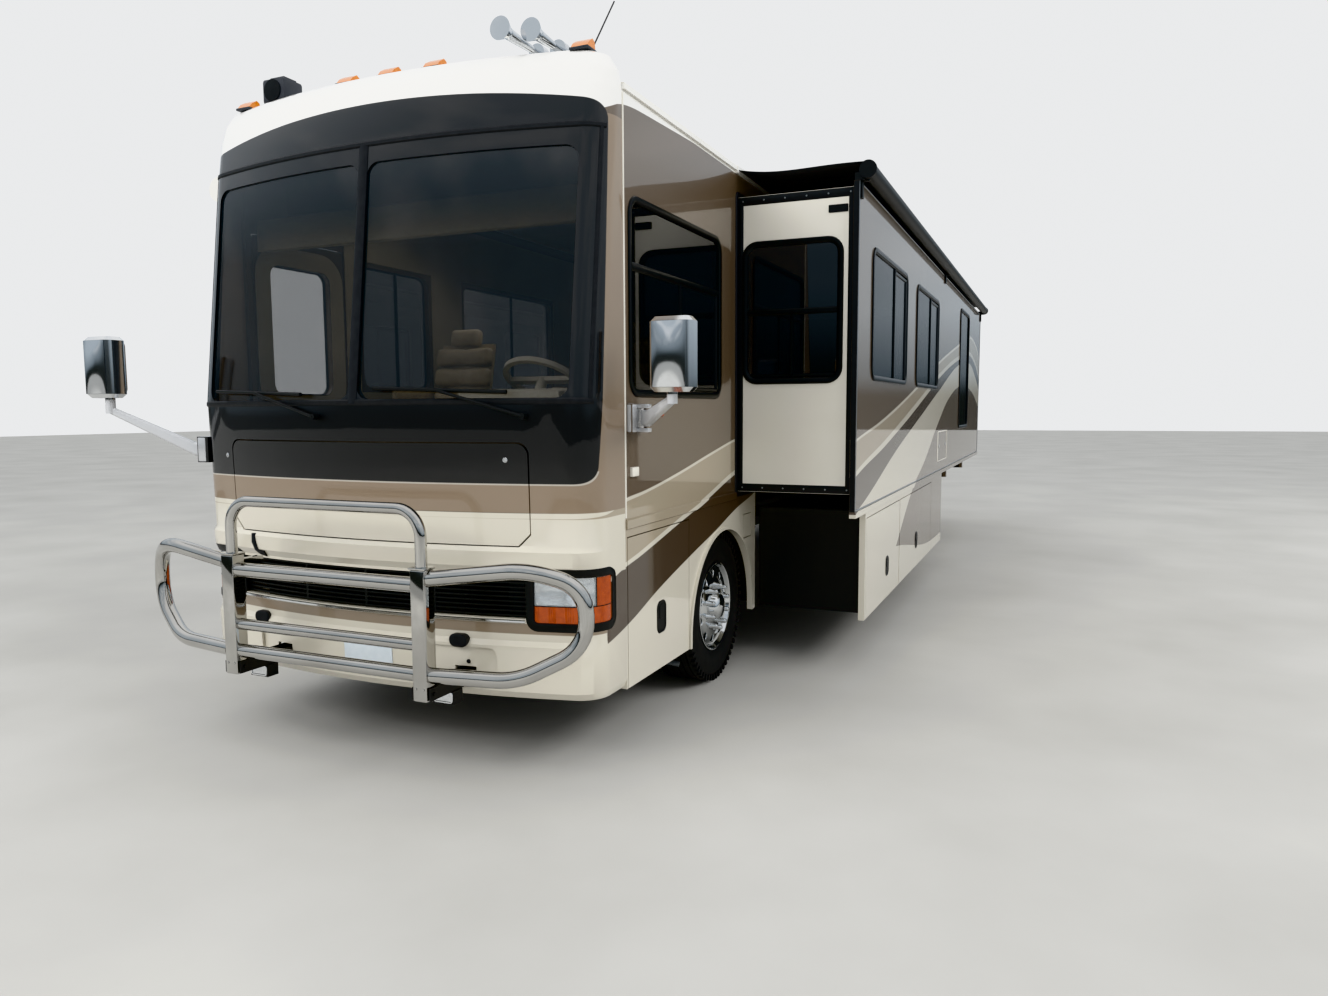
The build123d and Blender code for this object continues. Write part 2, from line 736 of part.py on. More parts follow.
# Knuckles: an upright with two ears round the beam end and a stub spindle
spindle_end = 1130
for side, word in ((1, "left"), (-1, "right")):
    with BuildPart() as knuckle:
        x0, x1 = sorted((side * (kingpin_x + 55), side * (kingpin_x + 90)))
        y0, y1 = front_axle_y - 50, front_axle_y + 50
        box(x0, x1, y0, y1, boss_bottom - ear - pin_gap, boss_top + ear + pin_gap)
        for z0 in (boss_bottom - ear - pin_gap, boss_top + pin_gap):
            rod((side * kingpin_x, front_axle_y, z0), (side * kingpin_x, front_axle_y, z0 + ear), boss_radius)
            x0, x1 = sorted((side * kingpin_x, side * (kingpin_x + 60)))
            box(x0, x1, front_axle_y - boss_radius, front_axle_y + boss_radius, z0, z0 + ear)
            rod(
                (side * kingpin_x, front_axle_y, z0 - 1), (side * kingpin_x, front_axle_y, z0 + ear + 1),
                kingpin_radius + pin_play, mode=Mode.SUBTRACT,
            )
        root = (side * (kingpin_x + 60), front_axle_y, hub_height)
        rod(root, (side * spindle_end, front_axle_y, hub_height), 40)
    pieces["knuckle_" + word] = knuckle

# Wheels. A tyre is a turned ring with rounded shoulders, a rim is a turned disc with hand
# holes and ten studs
stud_circle = 142
stud_radius = 16
hand_hole_circle = 220
hand_hole_radius = 24
shoulder = 70
tread_edge = 28
bead_set = 22
rim_wall = 14


def tyre(x0):
    """A tyre between x0 and x0 + tyre_width, turned about the X axis."""
    x1 = x0 + tyre_width
    with BuildSketch(Plane.XY) as section:
        with BuildLine():
            Polyline(
                (x0 + tread_edge, tyre_radius), (x1 - tread_edge, tyre_radius), (x1, tyre_radius - shoulder),
                (x1 - bead_set, bead_radius), (x0 + bead_set, bead_radius), (x0, tyre_radius - shoulder),
                close=True,
            )
        make_face()
    revolve(section.sketch, axis=Axis.X)


def rim(face, inward, dish):
    """A rim whose outer lip is at face, with its disc set in by dish."""
    with BuildSketch(Plane.XY) as section:
        with BuildLine():
            Polyline(
                (face, bead_radius), (face, bead_radius - rim_wall), (face + inward * dish, 245),
                (face + inward * (dish - 8), hub_radius), (face + inward * (dish + 12), hub_radius),
                (face + inward * 200, 250), (face + inward * 215, bead_radius), close=True,
            )
        make_face()
    revolve(section.sketch, axis=Axis.X)


lug_length = 66
front_dish = 26
rear_dish = 150
hub_radius = 88
for side, word in ((1, "left"), (-1, "right")):
    face = side * (wheel_outer - 14)
    inner_edge = wheel_outer - tyre_width - dual_gap
    with BuildPart() as wheel:
        tyre(min(side * wheel_outer, side * (wheel_outer - tyre_width)))
        rim(face, -side, front_dish)
        studs = Plane((face - side * front_dish, 0, 0), x_dir=(0, 1, 0), z_dir=(side, 0, 0))
        with BuildSketch(studs.offset(40)):
            with PolarLocations(hand_hole_circle, 10, start_angle=18):
                Circle(hand_hole_radius)
        extrude(amount=-100, mode=Mode.SUBTRACT)
        with BuildSketch(studs):
            with PolarLocations(stud_circle, 10):
                RegularPolygon(stud_radius, 6)
        extrude(amount=lug_length)
        with BuildSketch(studs.offset(-190)):
            Circle(hub_radius)
        extrude(amount=260)
        with BuildSketch(studs.offset(-190)):
            Circle(44)
        extrude(amount=125, mode=Mode.SUBTRACT)
    pieces["wheel_front_" + word] = wheel, Location((0, front_axle_y, hub_height))
    with BuildPart() as wheel:
        tyre(min(side * wheel_outer, side * (wheel_outer - tyre_width)))
        tyre(min(side * inner_edge, side * (inner_edge - tyre_width)))
        rim(face, -side, rear_dish)
        rim(side * (inner_edge - tyre_width + 14), side, rear_dish)
        studs = Plane((face - side * (rear_dish - 2), 0, 0), x_dir=(0, 1, 0), z_dir=(side, 0, 0))
        with BuildSketch(studs):
            with PolarLocations(stud_circle, 10):
                RegularPolygon(stud_radius, 6)
        extrude(amount=lug_length)
        with BuildSketch(studs.offset(-300)):
            Circle(hub_radius)
        extrude(amount=410)
        with BuildSketch(studs.offset(-300)):
            Circle(78)
        extrude(amount=250, mode=Mode.SUBTRACT)
    pieces["wheel_rear_" + word] = wheel, Location((0, rear_axle_y, hub_height))

# Slide-out room: a hollow shell open towards the coach, in a fascia wider than its hole
slide_windows = [(2692, 4128, 2016, 2850), (4727, 6197, 2016, 2850), (8400, 9450, 1570, 3000)]
end_window = (1352, 1963, 1990, 2855)
service_door = (6390, 7180, 1235, 1545)
service_groove = 6
with BuildPart() as slide_room:
    box(slide_inner, fascia_inner, slide_front, slide_back, slide_bottom, slide_top)
    box(
        slide_inner, slide_skin_inner, slide_front + slide_wall, slide_back - slide_wall,
        slide_bottom + slide_wall, slide_top - slide_wall, mode=Mode.SUBTRACT,
    )
    for window in slide_windows:
        side_panel(slide_skin_inner, fascia_inner, *window, window_radius, mode=Mode.SUBTRACT)
    cross_panel(slide_front, slide_front + slide_wall, *end_window, window_radius, mode=Mode.SUBTRACT)
pieces["slide_room"] = slide_room

with BuildPart() as slide_fascia:
    side_panel(fascia_inner, slide_outer, fascia_front, fascia_back, fascia_bottom, fascia_top)
    for window in slide_windows:
        side_panel(fascia_inner, slide_outer, *window, window_radius, mode=Mode.SUBTRACT)
    y0, y1, z0, z1 = service_door
    side_panel(slide_outer - service_groove, slide_outer, *service_door, 10, mode=Mode.SUBTRACT)
    side_panel(
        slide_outer - service_groove, slide_outer, y0 + joint_gap, y1 - joint_gap,
        z0 + joint_gap, z1 - joint_gap, 8,
    )
    rub_face = slide_outer + rub_proud
    side_panel(fascia_inner, rub_face, fascia_front, fascia_back, rub_bottom, fascia_bottom)
pieces["slide_fascia"] = slide_fascia

with BuildPart() as slide_windows_unit:
    for number, window in enumerate(slide_windows):
        side_window(slide_outer, 1, window, cross_bar=number < 2)
    cross_panel(
        slide_front + pane_set_back, slide_front + pane_set_back + pane_thickness, *end_window, window_radius,
    )
    x0, x1, z0, z1 = end_window
    cross_panel(
        slide_front - frame_proud, slide_front, x0 - frame_width, x1 + frame_width,
        z0 - frame_width, z1 + frame_width, window_radius + frame_width,
    )
    cross_panel(
        slide_front - frame_proud, slide_front, x0 + frame_lap, x1 - frame_lap,
        z0 + frame_lap, z1 - frame_lap, window_radius - frame_lap, mode=Mode.SUBTRACT,
    )
    transom = z0 + 0.49 * (z1 - z0)
    cross_panel(slide_front - frame_proud, slide_front, x0 + 2, x1 - 2, transom, transom + 40)
pieces["slide_windows"] = slide_windows_unit

# Basement that hangs under the slide-out and moves with it, with two doors
basement_doors = [("slide_door_1", 2606, 3990), ("slide_door_2", 4010, 5940)]
with BuildPart() as slide_basement:
    box_bottom = basement_bottom + tray
    box(basement_inner, basement_skin, basement_box_front, basement_box_back, box_bottom, basement_top)
    box(
        basement_inner + tray, slide_outer, basement_box_front + tray, basement_box_back - tray,
        box_bottom + tray, basement_top - tray, mode=Mode.SUBTRACT,
    )
    lintel = basement_door_top + joint_gap
    side_panel(basement_skin, slide_outer, basement_front, basement_back, lintel, rub_bottom)
    side_panel(basement_skin, slide_outer, basement_front, 2600, basement_bottom, rub_bottom)
    side_panel(basement_skin, slide_outer, 5948, basement_back, basement_bottom, rub_bottom)
    for row in basement_arms:
        box(300, basement_inner, row - arm_half, row + arm_half, arm_bottom - 70, arm_bottom + 10)
    for row in arm_rows:
        box(300, slide_outer - 7, row - arm_half, row + arm_half, arm_bottom, rub_bottom)
pieces["slide_basement"] = slide_basement
for name, front, back in basement_doors:
    with BuildPart() as door:
        side_panel(fascia_inner, slide_outer, front, back, basement_bottom, basement_door_top, 6)
    pieces[name] = door

# Topper: roller tube with its end brackets on the slide-out, and fabric from the roof's rail
fabric = 4
with BuildPart() as topper_roller:
    rod((topper_x, fascia_front, topper_z), (topper_x, fascia_back, topper_z), topper_radius - fabric - 2)
    for row in (fascia_front, (fascia_front + fascia_back) / 2, fascia_back - 40):
        box(slide_outer - 30, topper_x - 20, row, row + 40, fascia_top, topper_z - 10)
    for row in (fascia_front - 16, fascia_back):
        rod((topper_x, row, topper_z), (topper_x, row + 16, topper_z), topper_radius)
pieces["topper_roller"] = topper_roller

with BuildPart() as topper_fabric:
    with BuildSketch(across(fascia_back - 20)):
        with BuildLine():
            low = topper_z + topper_radius - fabric
            Polyline(
                (half_width + 18, topper_rail_bottom), (topper_x, low), (topper_x, low + fabric),
                (half_width + 18, topper_rail_bottom + fabric), close=True,
            )
        make_face()
    extrude(amount=fascia_back - fascia_front - 40)
pieces["topper_fabric"] = topper_fabric

# Roof equipment, each piece trimmed to the roof that it stands on
unit_rows = (3300, 8600)
unit_height = 300
vents = ((0, 5400), (-500, 6600), (0, 10300))
with BuildPart() as roof_units:
    for row in unit_rows:
        box(-360, 360, row - 500, row + 500, roof_crown - 40, roof_crown + unit_height)
    fillet(roof_units.edges().filter_by(Axis.Z), 90)
    fillet(roof_units.edges().group_by(Axis.Z)[-1], 60)
    for x, y in vents:
        box(x - 220, x + 220, y - 220, y + 220, roof_crown - 60, roof_crown + 90)
    rod((980, 700, roof_crown - 80), (980, 700, roof_crown + 70), 22)
    rod((980, 700, roof_crown + 60), (980, 1050, roof_crown + 510), 4)
    add(roof.part, mode=Mode.SUBTRACT)
    box(-360, 360, nose_seam, tail_seam, roof_crown - 200, roof_crown - roof_thickness, mode=Mode.SUBTRACT)
pieces["roof_units"] = roof_units

# Air horns: centre, bell mouth and body along the roof
horns = [(760, 255, 620), (885, 330, 620)]
horn_z = 3620
with BuildPart() as air_horns:
    for x, bell, body in horns:
        with BuildSketch(Plane((x, 0, horn_z), x_dir=(0, 1, 0), z_dir=(1, 0, 0))) as profile:
            with BuildLine():
                Polyline(
                    (bell, 0), (bell, 56), (bell + 60, 30), (body - 30, 16), (body - 30, 45),
                    (body + 25, 45), (body + 25, 0), close=True,
                )
            make_face()
        revolve(profile.sketch, axis=Axis((x, 0, horn_z), (0, 1, 0)))
        box(x - 15, x + 15, body - 10, body + 10, roof_crown - 60, horn_z - 20)
    add(roof.part, mode=Mode.SUBTRACT)
pieces["air_horns"] = air_horns

# Clearance lamps on the brow, and the searchlight behind them
lamp_row = [(-1100, 470), (-285, 400), (0, 395), (285, 400), (1100, 470)]
with BuildPart() as roof_lamps:
    for x, y in lamp_row:
        box(x - 38, x + 38, y, y + 34, nose_sections[-1][0], nose_sections[-1][0] + 26)
    rod((-1020, 640, roof_crown - 90), (-1020, 640, 3680), 50)
    rod((-1020, 575, 3690), (-1020, 715, 3690), 80)
    add(roof.part, mode=Mode.SUBTRACT)
pieces["roof_lamps"] = roof_lamps

# Patio awning, rolled up in its case along the passenger side's top edge
awning_front = 440
awning_back = 6500
awning_z = 3110
with BuildPart() as patio_awning:
    rod((-half_width - 74, awning_front, awning_z), (-half_width - 74, awning_back, awning_z), 70)
    box(-half_width - 60, -half_width, awning_front + 20, awning_back, awning_z - 20, awning_z + 60)
pieces["patio_awning"] = patio_awning

# Mirrors: a rounded head on a tapered arm, which turns on the foot's pin
mirror_z = 2050
mirror_head = (220, 130, 350)
mirror_neck = 26
mirror_stub = 48
for side, word, foot_y, foot_z, head_x, head_y, drop in mirrors:
    head = Vector(side * head_x, head_y, mirror_z)
    head_bottom = mirror_z - mirror_head[2] / 2
    root = Vector(side * mirror_pivot_x, foot_y, foot_z)
    elbow = Vector(side * (head_x - 12), head_y + 8, head_bottom - drop)
    level = Vector(elbow.X - root.X, elbow.Y - root.Y, 0).normalized()
    stub = root + level * mirror_stub
    with BuildPart() as mirror:
        with BuildSketch(Plane.XY.offset(head_bottom)):
            with Locations((head.X, head.Y)):
                RectangleRounded(mirror_head[0], mirror_head[1], 45)
        extrude(amount=mirror_head[2])
        chamfer(mirror.edges().filter_by(Plane.XY), 22)
        rod(elbow - Vector(0, 0, mirror_neck - 6), (elbow.X, elbow.Y, head_bottom + 30), mirror_neck)
        sections = []
        for point, width, height in ((root, 48, 84), (stub, 46, 80), (elbow, 40, 46)):
            with BuildSketch(Plane(origin=point, x_dir=level.cross(Vector(0, 0, 1)), z_dir=level)) as section:
                RectangleRounded(width, height, 16)
            sections.append(section.sketch)
        loft(sections, ruled=True)
        rod(root - Vector(0, 0, 42), root + Vector(0, 0, 42), 24)
        pin_bore = Vector(0, 0, 60)
        rod(root - pin_bore, root + pin_bore, mirror_pin + pin_play, mode=Mode.SUBTRACT)
    pieces["mirror_" + word] = mirror

# Wipers: pivot, blade tip and blade heel of each, standing off the nose by wiper_gap
wiper_gap = 14
wiper_rows = [((-240, 1765), (-1060, 1905), (-330, 1880)), ((960, 1765), (150, 1905), (880, 1880))]


def off_nose(x, z, gap):
    """A point that stands off the nose's surface by gap."""
    return (x, nose_y(x, z) - gap, z)


with BuildPart() as wipers:
    for pivot, tip, heel in wiper_rows:
        middle = ((tip[0] + heel[0]) / 2, (tip[1] + heel[1]) / 2)
        rod(off_nose(*pivot, 0), off_nose(*pivot, 40), 16)
        rod(off_nose(*pivot, 34), off_nose(*middle, 34), 8)
        rod(off_nose(*tip, 26), off_nose(*heel, 26), 10)
    add(nose_skin.part, mode=Mode.SUBTRACT)
pieces["wipers"] = wipers

# Grille guard on its pivots, and the fixed brackets that hold it
guard_y = -249
guard_post = 80
guard_pivot_z = 475
guard_top = 1062
guard_tube = 34
loop_tube = 28
collar = 10
guard_bars = ((985, 34), (700, 30), (560, 34))
loop_top = 1340
cheek = 6
pin_radius = 10

# The guard's wings: distance out, row behind the posts and height of each corner
guard_wing = [(mount_x, 0, 1040), (1130, 60, 1090), (1370, 190, 1000),
              (1370, 190, 720), (1080, 60, 570), (mount_x, 0, 560)]
with BuildPart() as grille_guard:
    for side in (-1, 1):
        x = side * mount_x
        half = guard_post / 2
        box(x - half, x + half, guard_y - half, guard_y + half, guard_foot, guard_top)
        box(x - half - 8, x + half + 8, guard_y - half, guard_y + half, guard_top, guard_top + collar)
        box(x - 20, x + 20, guard_y + guard_post / 2, guard_y + 180, guard_top - 70, guard_top - 30)
    for z, radius in guard_bars:
        rod((-mount_x, guard_y, z), (mount_x, guard_y, z), radius)
    loop = [(-mount_x, guard_top - 20), (-mount_x, loop_top), (mount_x, loop_top), (mount_x, guard_top - 20)]
    tube([(x, guard_y, z) for x, z in loop], loop_tube, 130)
    for side in (-1, 1):
        tube([(side * x, guard_y + y, z) for x, y, z in guard_wing], guard_tube, 90)
    bore = mount_x + 70
    rod((-bore, guard_y, guard_pivot_z), (bore, guard_y, guard_pivot_z), pin_radius + 0.3, mode=Mode.SUBTRACT)
pieces["grille_guard"] = grille_guard

with BuildPart() as guard_mounts:
    for side in (-1, 1):
        for offset in (-1, 1):
            x = side * mount_x + offset * (guard_post / 2 + 9)
            box(x - cheek / 2, x + cheek / 2, guard_y - 30, rail_front, guard_foot + 5, guard_foot + 65)
        box(side * mount_x - 52, side * mount_x + 52, -90, rail_front, guard_foot + 5, guard_foot + 17)
        pin = side * mount_x
        rod((pin - 60, guard_y, guard_pivot_z), (pin + 60, guard_y, guard_pivot_z), pin_radius)
        x0, x1 = sorted((side * (rail_x - 40), side * (mount_x + 52)))
        box(x0, x1, rail_front, rail_front + 60, guard_foot + 5, rail_bottom)
        box(side * mount_x - 60, side * mount_x + 60, -112, -40, guard_foot - 58, guard_foot + 6)
pieces["guard_mounts"] = guard_mounts

# Hitch receiver at the back
receiver = 50.8
receiver_wall = 6.35
receiver_end = tail + 95
pin_row = tail + 45
hitch_pin_hole = 16
hitch_beam = tail_seam - 130
hitch_beam_half = rail_x + rail_width / 2
socket = hitch_beam + 70
with BuildPart() as hitch_receiver:
    box(-hitch_beam_half, hitch_beam_half, hitch_beam, socket, hitch_z - 40, rail_bottom)
    box(
        -receiver / 2 - receiver_wall, receiver / 2 + receiver_wall, hitch_beam + 40, receiver_end,
        hitch_z - receiver / 2 - receiver_wall, hitch_z + receiver / 2 + receiver_wall,
    )
    box(
        -receiver / 2, receiver / 2, socket, receiver_end + 1,
        hitch_z - receiver / 2, hitch_z + receiver / 2, mode=Mode.SUBTRACT,
    )
    rod((-60, pin_row, hitch_z), (60, pin_row, hitch_z), hitch_pin_hole / 2, mode=Mode.SUBTRACT)
pieces["hitch_receiver"] = hitch_receiver

# Cockpit
wheel_at = (620, 830, 1960)
column_foot = (620, 700, 1740)
column_radius = 30
with BuildPart() as dashboard:
    with BuildSketch(Plane.YZ.offset(-1050)):
        with BuildLine():
            Polyline(
                (330, floor_top), (330, 1760), (620, 1800), (760, 1700), (700, 1500), (520, floor_top),
                close=True,
            )
        make_face()
    extrude(amount=2100)
    rod(column_foot, wheel_at, column_radius, mode=Mode.SUBTRACT)
pieces["dashboard"] = dashboard

with BuildPart() as steering_wheel:
    with BuildSketch(Plane(origin=wheel_at, x_dir=(1, 0, 0), z_dir=(0, 0.5, 0.87))):
        Circle(225)
        Circle(195, mode=Mode.SUBTRACT)
        Rectangle(400, 40)
    extrude(amount=14, both=True)
    rod(column_foot, wheel_at, column_radius)
pieces["steering_wheel"] = steering_wheel

# Front chairs: seat and back cushions of rounded section, headrest and arms on a pedestal
seat_front = 1250
seat_low = 1560
seat_width = 520
seat_length = 530
seat_thick = 160
seat_round = 55
back_length = 600
back_lean = (0, 0.2, 0.98)
with BuildPart() as front_chairs:
    for x in (-620, 620):
        box(x - 180, x + 180, 1350, 1700, floor_top, seat_low + 10)
        with BuildSketch(across(seat_front)):
            with Locations((x, seat_low + seat_thick / 2)):
                RectangleRounded(seat_width, seat_thick, seat_round)
        extrude(amount=-seat_length)
        hinge_row = seat_front + seat_length - 50
        back = Plane(origin=(x, hinge_row, seat_low + 90), x_dir=(1, 0, 0), z_dir=back_lean)
        with BuildSketch(back):
            RectangleRounded(seat_width - 20, 120, seat_round)
        extrude(amount=back_length)
        with BuildSketch(back.offset(back_length - 5)):
            RectangleRounded(280, 115, seat_round)
        extrude(amount=150)
        for side in (-1, 1):
            with BuildSketch(across(seat_front + 130)):
                with Locations((x + side * seat_width / 2, 1900)):
                    RectangleRounded(50, 70, 22)
            extrude(amount=-430)
pieces["front_chairs"] = front_chairs

with BuildPart() as overhead_cabinet:
    box(-1000, 1000, 620, 1000, 2960, roof_crown - 20)
    add(roof.part, mode=Mode.SUBTRACT)
    box(-1000, 1000, 620, 1000, roof_crown - 60, roof_crown + 10, mode=Mode.SUBTRACT)
pieces["overhead_cabinet"] = overhead_cabinet

for name, piece in pieces.items():
    shift = Location((stand_x, stand_y, 0))
    if isinstance(piece, tuple):
        piece, place = piece
        shift = shift * place
    solid = piece.part.moved(shift)
    solid.label = name
    export_step(solid, f"parts/{name}.step")
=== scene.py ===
"""Motorhome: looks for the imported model, in metres, in the model's own frame."""
import math

import bmesh
import bpy
from mathutils import Matrix, Vector, geometry


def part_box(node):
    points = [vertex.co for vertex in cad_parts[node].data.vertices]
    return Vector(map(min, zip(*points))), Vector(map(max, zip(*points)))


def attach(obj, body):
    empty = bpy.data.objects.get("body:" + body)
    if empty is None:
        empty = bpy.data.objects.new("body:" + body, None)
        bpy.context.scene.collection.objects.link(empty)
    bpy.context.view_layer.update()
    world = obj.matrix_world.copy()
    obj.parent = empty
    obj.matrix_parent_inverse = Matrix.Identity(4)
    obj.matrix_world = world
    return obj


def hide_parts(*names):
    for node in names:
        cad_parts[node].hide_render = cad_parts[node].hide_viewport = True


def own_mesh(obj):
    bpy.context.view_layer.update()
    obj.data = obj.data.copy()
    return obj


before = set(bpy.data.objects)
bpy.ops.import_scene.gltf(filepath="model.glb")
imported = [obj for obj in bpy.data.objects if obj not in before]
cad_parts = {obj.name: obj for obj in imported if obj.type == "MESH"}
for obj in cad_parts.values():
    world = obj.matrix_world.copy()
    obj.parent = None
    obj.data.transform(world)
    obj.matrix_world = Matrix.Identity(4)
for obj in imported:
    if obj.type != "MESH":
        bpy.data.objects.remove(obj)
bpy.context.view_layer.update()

# Yard: a pale power-floated concrete floor under a white overcast sky. In reflections the sky
# is blue-grey with soft clouds, and a dark line of far ground lies along the horizon.
scene = bpy.context.scene
nose_low, nose_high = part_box("lower_fascia")
centre_x = (nose_low.x + nose_high.x) / 2
front_y = nose_low.y


def at(x, y, z):
    """A point by its distance from the centreline, behind the nose and above the ground."""
    return Vector((centre_x + x, front_y + y, z))


def colour(code):
    """A linear colour from an sRGB hex value."""
    parts = [int(code[i:i + 2], 16) / 255 for i in (1, 3, 5)]
    return tuple(c / 12.92 if c < 0.04045 else ((c + 0.055) / 1.055) ** 2.4 for c in parts) + (1.0,)


def add_node(tree, kind, sockets=None, **settings):
    """Adds a node, with its settings, and fills or links its sockets."""
    node = tree.nodes.new(kind)
    for name, value in settings.items():
        setattr(node, name, value)
    for socket, value in (sockets or {}).items():
        if isinstance(value, bpy.types.NodeSocket):
            tree.links.new(value, node.inputs[socket])
        else:
            node.inputs[socket].default_value = value
    return node


def worked(tree, kind, first, second):
    """One sum in a node tree."""
    return add_node(tree, "ShaderNodeMath", {0: first, 1: second}, operation=kind).outputs[0]


def ranged(tree, value, low, high, to_low=0.0, to_high=1.0):
    """A value carried over from the range low to high to another."""
    return add_node(tree, "ShaderNodeMapRange", {"Value": value, "From Min": low, "From Max": high,
                                                 "To Min": to_low, "To Max": to_high}).outputs[0]


def mixed(tree, share, first, second):
    """Two colours mixed by a share."""
    return add_node(tree, "ShaderNodeMix", {"Factor": share, "A": first, "B": second},
                    data_type="RGBA").outputs["Result"]


def clouded(tree, vector, scale, detail):
    """A noise pattern's value at a place."""
    return add_node(tree, "ShaderNodeTexNoise",
                    {"Vector": vector, "Scale": scale, "Detail": detail}).outputs["Fac"]


def bumped(tree, pattern, depth, socket):
    """Joins bumps of a pattern, depth metres deep, to a socket."""
    bump = add_node(tree, "ShaderNodeBump", {"Height": pattern, "Distance": depth})
    tree.links.new(bump.outputs["Normal"], socket)


def new_finish(name, sockets):
    """A material of one Principled shader: the material, its tree and the shader."""
    material = bpy.data.materials.new(name)
    material.use_nodes = True
    tree = material.node_tree
    shader = tree.nodes["Principled BSDF"]
    for socket, value in sockets.items():
        shader.inputs[socket].default_value = colour(value) if isinstance(value, str) else value
    return material, tree, shader


def grained(name, base, other, size, rough, depth=0.0, metal=0.0, coat=0.0, coat_rough=0.03, detail=4.0,
            stretch=(1, 1, 1)):
    """A finish mottled between two hex colours in patches of size metres, with bumps depth metres deep."""
    material, tree, shader = new_finish(name, {"Roughness": rough, "Metallic": metal, "Coat Weight": coat,
                                               "Coat Roughness": coat_rough})
    place = add_node(tree, "ShaderNodeTexCoord").outputs["Object"]
    stretched = add_node(tree, "ShaderNodeMapping", {"Vector": place, "Scale": stretch}).outputs["Vector"]
    grain = clouded(tree, stretched, 1 / size, detail)
    share = ranged(tree, grain, 0.35, 0.7, to_high=0.6)
    tree.links.new(mixed(tree, share, colour(base), colour(other)), shader.inputs["Base Color"])
    if depth:
        bumped(tree, grain, depth, shader.inputs["Normal"])
    return material


def mesh_piece(name, bm, material, body="coach", smooth=40):
    """Turns a bmesh into a piece that rides on a body, smooth below an edge angle in degrees."""
    bmesh.ops.recalc_face_normals(bm, faces=bm.faces)
    mesh = bpy.data.meshes.new(name)
    bm.to_mesh(mesh)
    bm.free()
    mesh.polygons.foreach_set("use_smooth", [True] * len(mesh.polygons))
    mesh.set_sharp_from_angle(angle=math.radians(smooth))
    mesh.materials.append(material)
    piece = bpy.data.objects.new(name, mesh)
    scene.collection.objects.link(piece)
    if body:
        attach(piece, body)
    return piece


floor_half = 70.0
concrete = grained("floated_concrete", "#C2C0BB", "#AEACA7", 1.6, 0.72, detail=8.0)
bm = bmesh.new()
bmesh.ops.create_grid(bm, x_segments=1, y_segments=1, size=floor_half)
yard = mesh_piece("yard_floor", bm, concrete, None)

scene.view_settings.view_transform = "Khronos PBR Neutral"
sky = bpy.data.worlds.new("overcast")
scene.world = sky
sky.use_nodes = True
tree = sky.node_tree
rise = add_node(tree, "ShaderNodeTexCoord").outputs["Generated"]
ways = add_node(tree, "ShaderNodeSeparateXYZ", {"Vector": rise}).outputs
skyline = worked(tree, "MULTIPLY", ways["Z"], ranged(tree, ways["Y"], -0.25, -0.7, 1.0, 0.3))
band = add_node(tree, "ShaderNodeValToRGB", {"Fac": skyline})
stops = band.color_ramp.elements
stops[0].color = colour("#3B3D3C")
stops[0].position = 0.0
stops[1].color = colour("#FFFFFF")
stops[1].position = 0.62
for share, code in ((0.014, "#3E403F"), (0.035, "#87929A"), (0.10, "#BCC6CE"), (0.4, "#CFD7DE")):
    stops.new(share).color = colour(code)
flatter = add_node(tree, "ShaderNodeMapping", {"Vector": rise, "Scale": (1, 1, 2.5)}).outputs["Vector"]
clouds = ranged(tree, clouded(tree, flatter, 3.2, 6.0), 0.45, 0.68)
drift = worked(tree, "MULTIPLY", clouds, ranged(tree, ways["Z"], 0.12, 0.25))
cloudy = mixed(tree, drift, band.outputs["Color"], colour("#F2F4F6"))
rays = add_node(tree, "ShaderNodeLightPath").outputs
mirrored = mixed(tree, rays["Is Glossy Ray"], colour("#F4F7FA"), cloudy)
shown = mixed(tree, rays["Is Camera Ray"], mirrored, colour("#F4F5F6"))
tree.links.new(shown, tree.nodes["Background"].inputs["Color"])
tree.nodes["Background"].inputs["Strength"].default_value = 1.0


def soft_lamp(name, place, aim, width, height, watts):
    """A large area lamp that looks from its place to its aim and shows in no reflection."""
    data = bpy.data.lights.new(name, "AREA")
    data.shape = "RECTANGLE"
    data.size = width
    data.size_y = height
    data.energy = watts
    lamp = bpy.data.objects.new(name, data)
    lamp.location = place
    lamp.rotation_mode = "QUATERNION"
    lamp.rotation_quaternion = (aim - place).to_track_quat("-Z", "Y")
    lamp.visible_glossy = False
    scene.collection.objects.link(lamp)


soft_lamp("front_softbox", at(-5, -10, 9), at(0, 1, 1.5), 9, 6, 1100)
soft_lamp("side_softbox", at(14, 4, 11), at(1, 5, 1.5), 16, 5, 1200)
soft_lamp("cabin_light", at(0, 1.9, 3.1), at(0, 1.3, 1.6), 1.6, 1.2, 8)

# Camera: a wide lens at a standing person's eye height, off the driver's front corner.
camera_place = at(3.3042, -3.6487, 1.7928)
camera_left = 0.4099
camera_down = 0.0961
camera_roll = -0.0046
photo_width = 1328
focal_pixels = 916.48
camera_data = bpy.data.cameras.new("camera")
camera_data.sensor_width = 36.0
camera_data.lens = camera_data.sensor_width * focal_pixels / photo_width
camera_data.clip_end = 300.0
camera = bpy.data.objects.new("camera", camera_data)
aim = Matrix.Rotation(camera_left, 4, "Z") @ Matrix.Rotation(math.pi / 2 - camera_down, 4, "X")
camera.matrix_world = Matrix.Translation(camera_place) @ aim @ Matrix.Rotation(camera_roll, 4, "Z")
scene.collection.objects.link(camera)
scene.camera = camera

